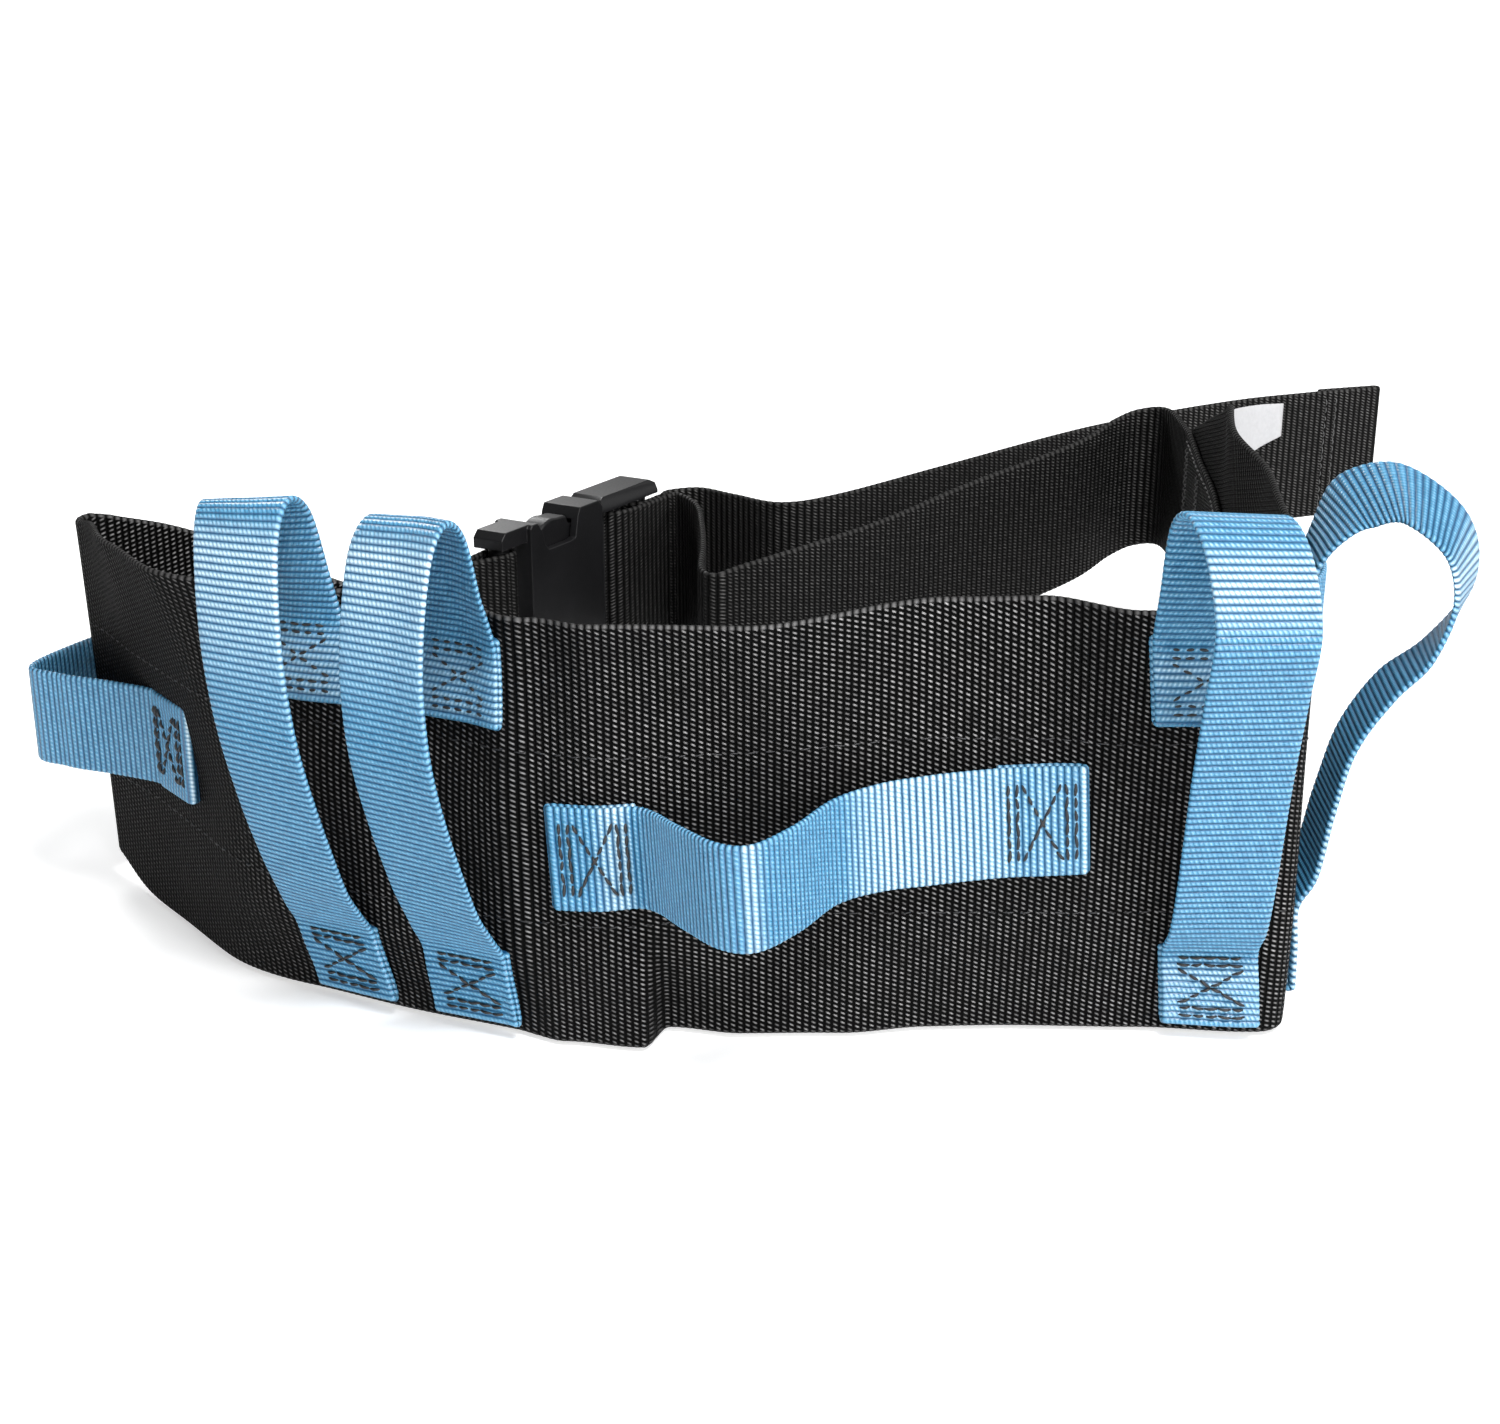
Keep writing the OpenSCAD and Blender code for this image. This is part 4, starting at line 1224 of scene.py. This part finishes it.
def area_light(name, location, target, size, power):
    data = bpy.data.lights.new(name, "AREA")
    data.shape = "RECTANGLE"
    data.size, data.size_y = size
    data.energy = power
    light = bpy.data.objects.new(name, data)
    light.location = location
    direction = np.array(target) - np.array(location)
    light.rotation_euler = Vector(direction).to_track_quat("-Z", "Y").to_euler()
    bpy.context.scene.collection.objects.link(light)


def make_world(lighting, seen):
    """Light from all round, dimmer from the left, and a white backdrop where the camera sees it."""
    world = bpy.data.worlds.new("studio")
    world.use_nodes = True
    nodes, links = world.node_tree.nodes, world.node_tree.links
    path = nodes.new("ShaderNodeLightPath")
    strength = nodes.new("ShaderNodeMix")
    direction = nodes.new("ShaderNodeTexCoord")
    split = nodes.new("ShaderNodeSeparateXYZ")
    links.new(direction.outputs["Generated"], split.inputs[0])
    side = nodes.new("ShaderNodeMapRange")
    side.inputs["From Min"].default_value = -0.7
    side.inputs["From Max"].default_value = 0.5
    side.inputs["To Min"].default_value = lighting[0]
    side.inputs["To Max"].default_value = lighting[1]
    links.new(split.outputs["X"], side.inputs["Value"])
    links.new(side.outputs["Result"], strength.inputs[2])
    strength.inputs[3].default_value = seen
    links.new(path.outputs["Is Camera Ray"], strength.inputs[0])
    links.new(strength.outputs[0], nodes["Background"].inputs[1])
    nodes["Background"].inputs[0].default_value = (1.0, 1.0, 1.0, 1)
    bpy.context.scene.world = world


make_floor()
make_world((0.12, 0.6), 1.0)
bpy.context.scene.view_settings.view_transform = "Standard"
area_light("overhead", (0.25, -0.45, 1.0), (0, 0.05, 0.05), (0.45, 0.35), 13)
area_light("front", (-0.25, -1.15, 0.2), (0, 0, 0.05), (0.6, 0.25), 5)
area_light("side", (0.8, -0.9, 0.5), (0, 0.0, 0.05), (0.4, 0.4), 7)
area_light("behind", (-0.5, 1.3, 0.7), (0, 0.2, 0.05), (0.5, 0.4), 9)

camera_data = bpy.data.cameras.new("camera")
camera = bpy.data.objects.new("camera", camera_data)
bpy.context.scene.collection.objects.link(camera)
camera.location = (-0.0156, -0.500, 0.250)
camera.rotation_euler = (math.radians(68.5), 0, 0)
camera_data.lens = 57.2
camera_data.sensor_width = 36
camera_data.shift_y = 0.072
bpy.context.scene.camera = camera
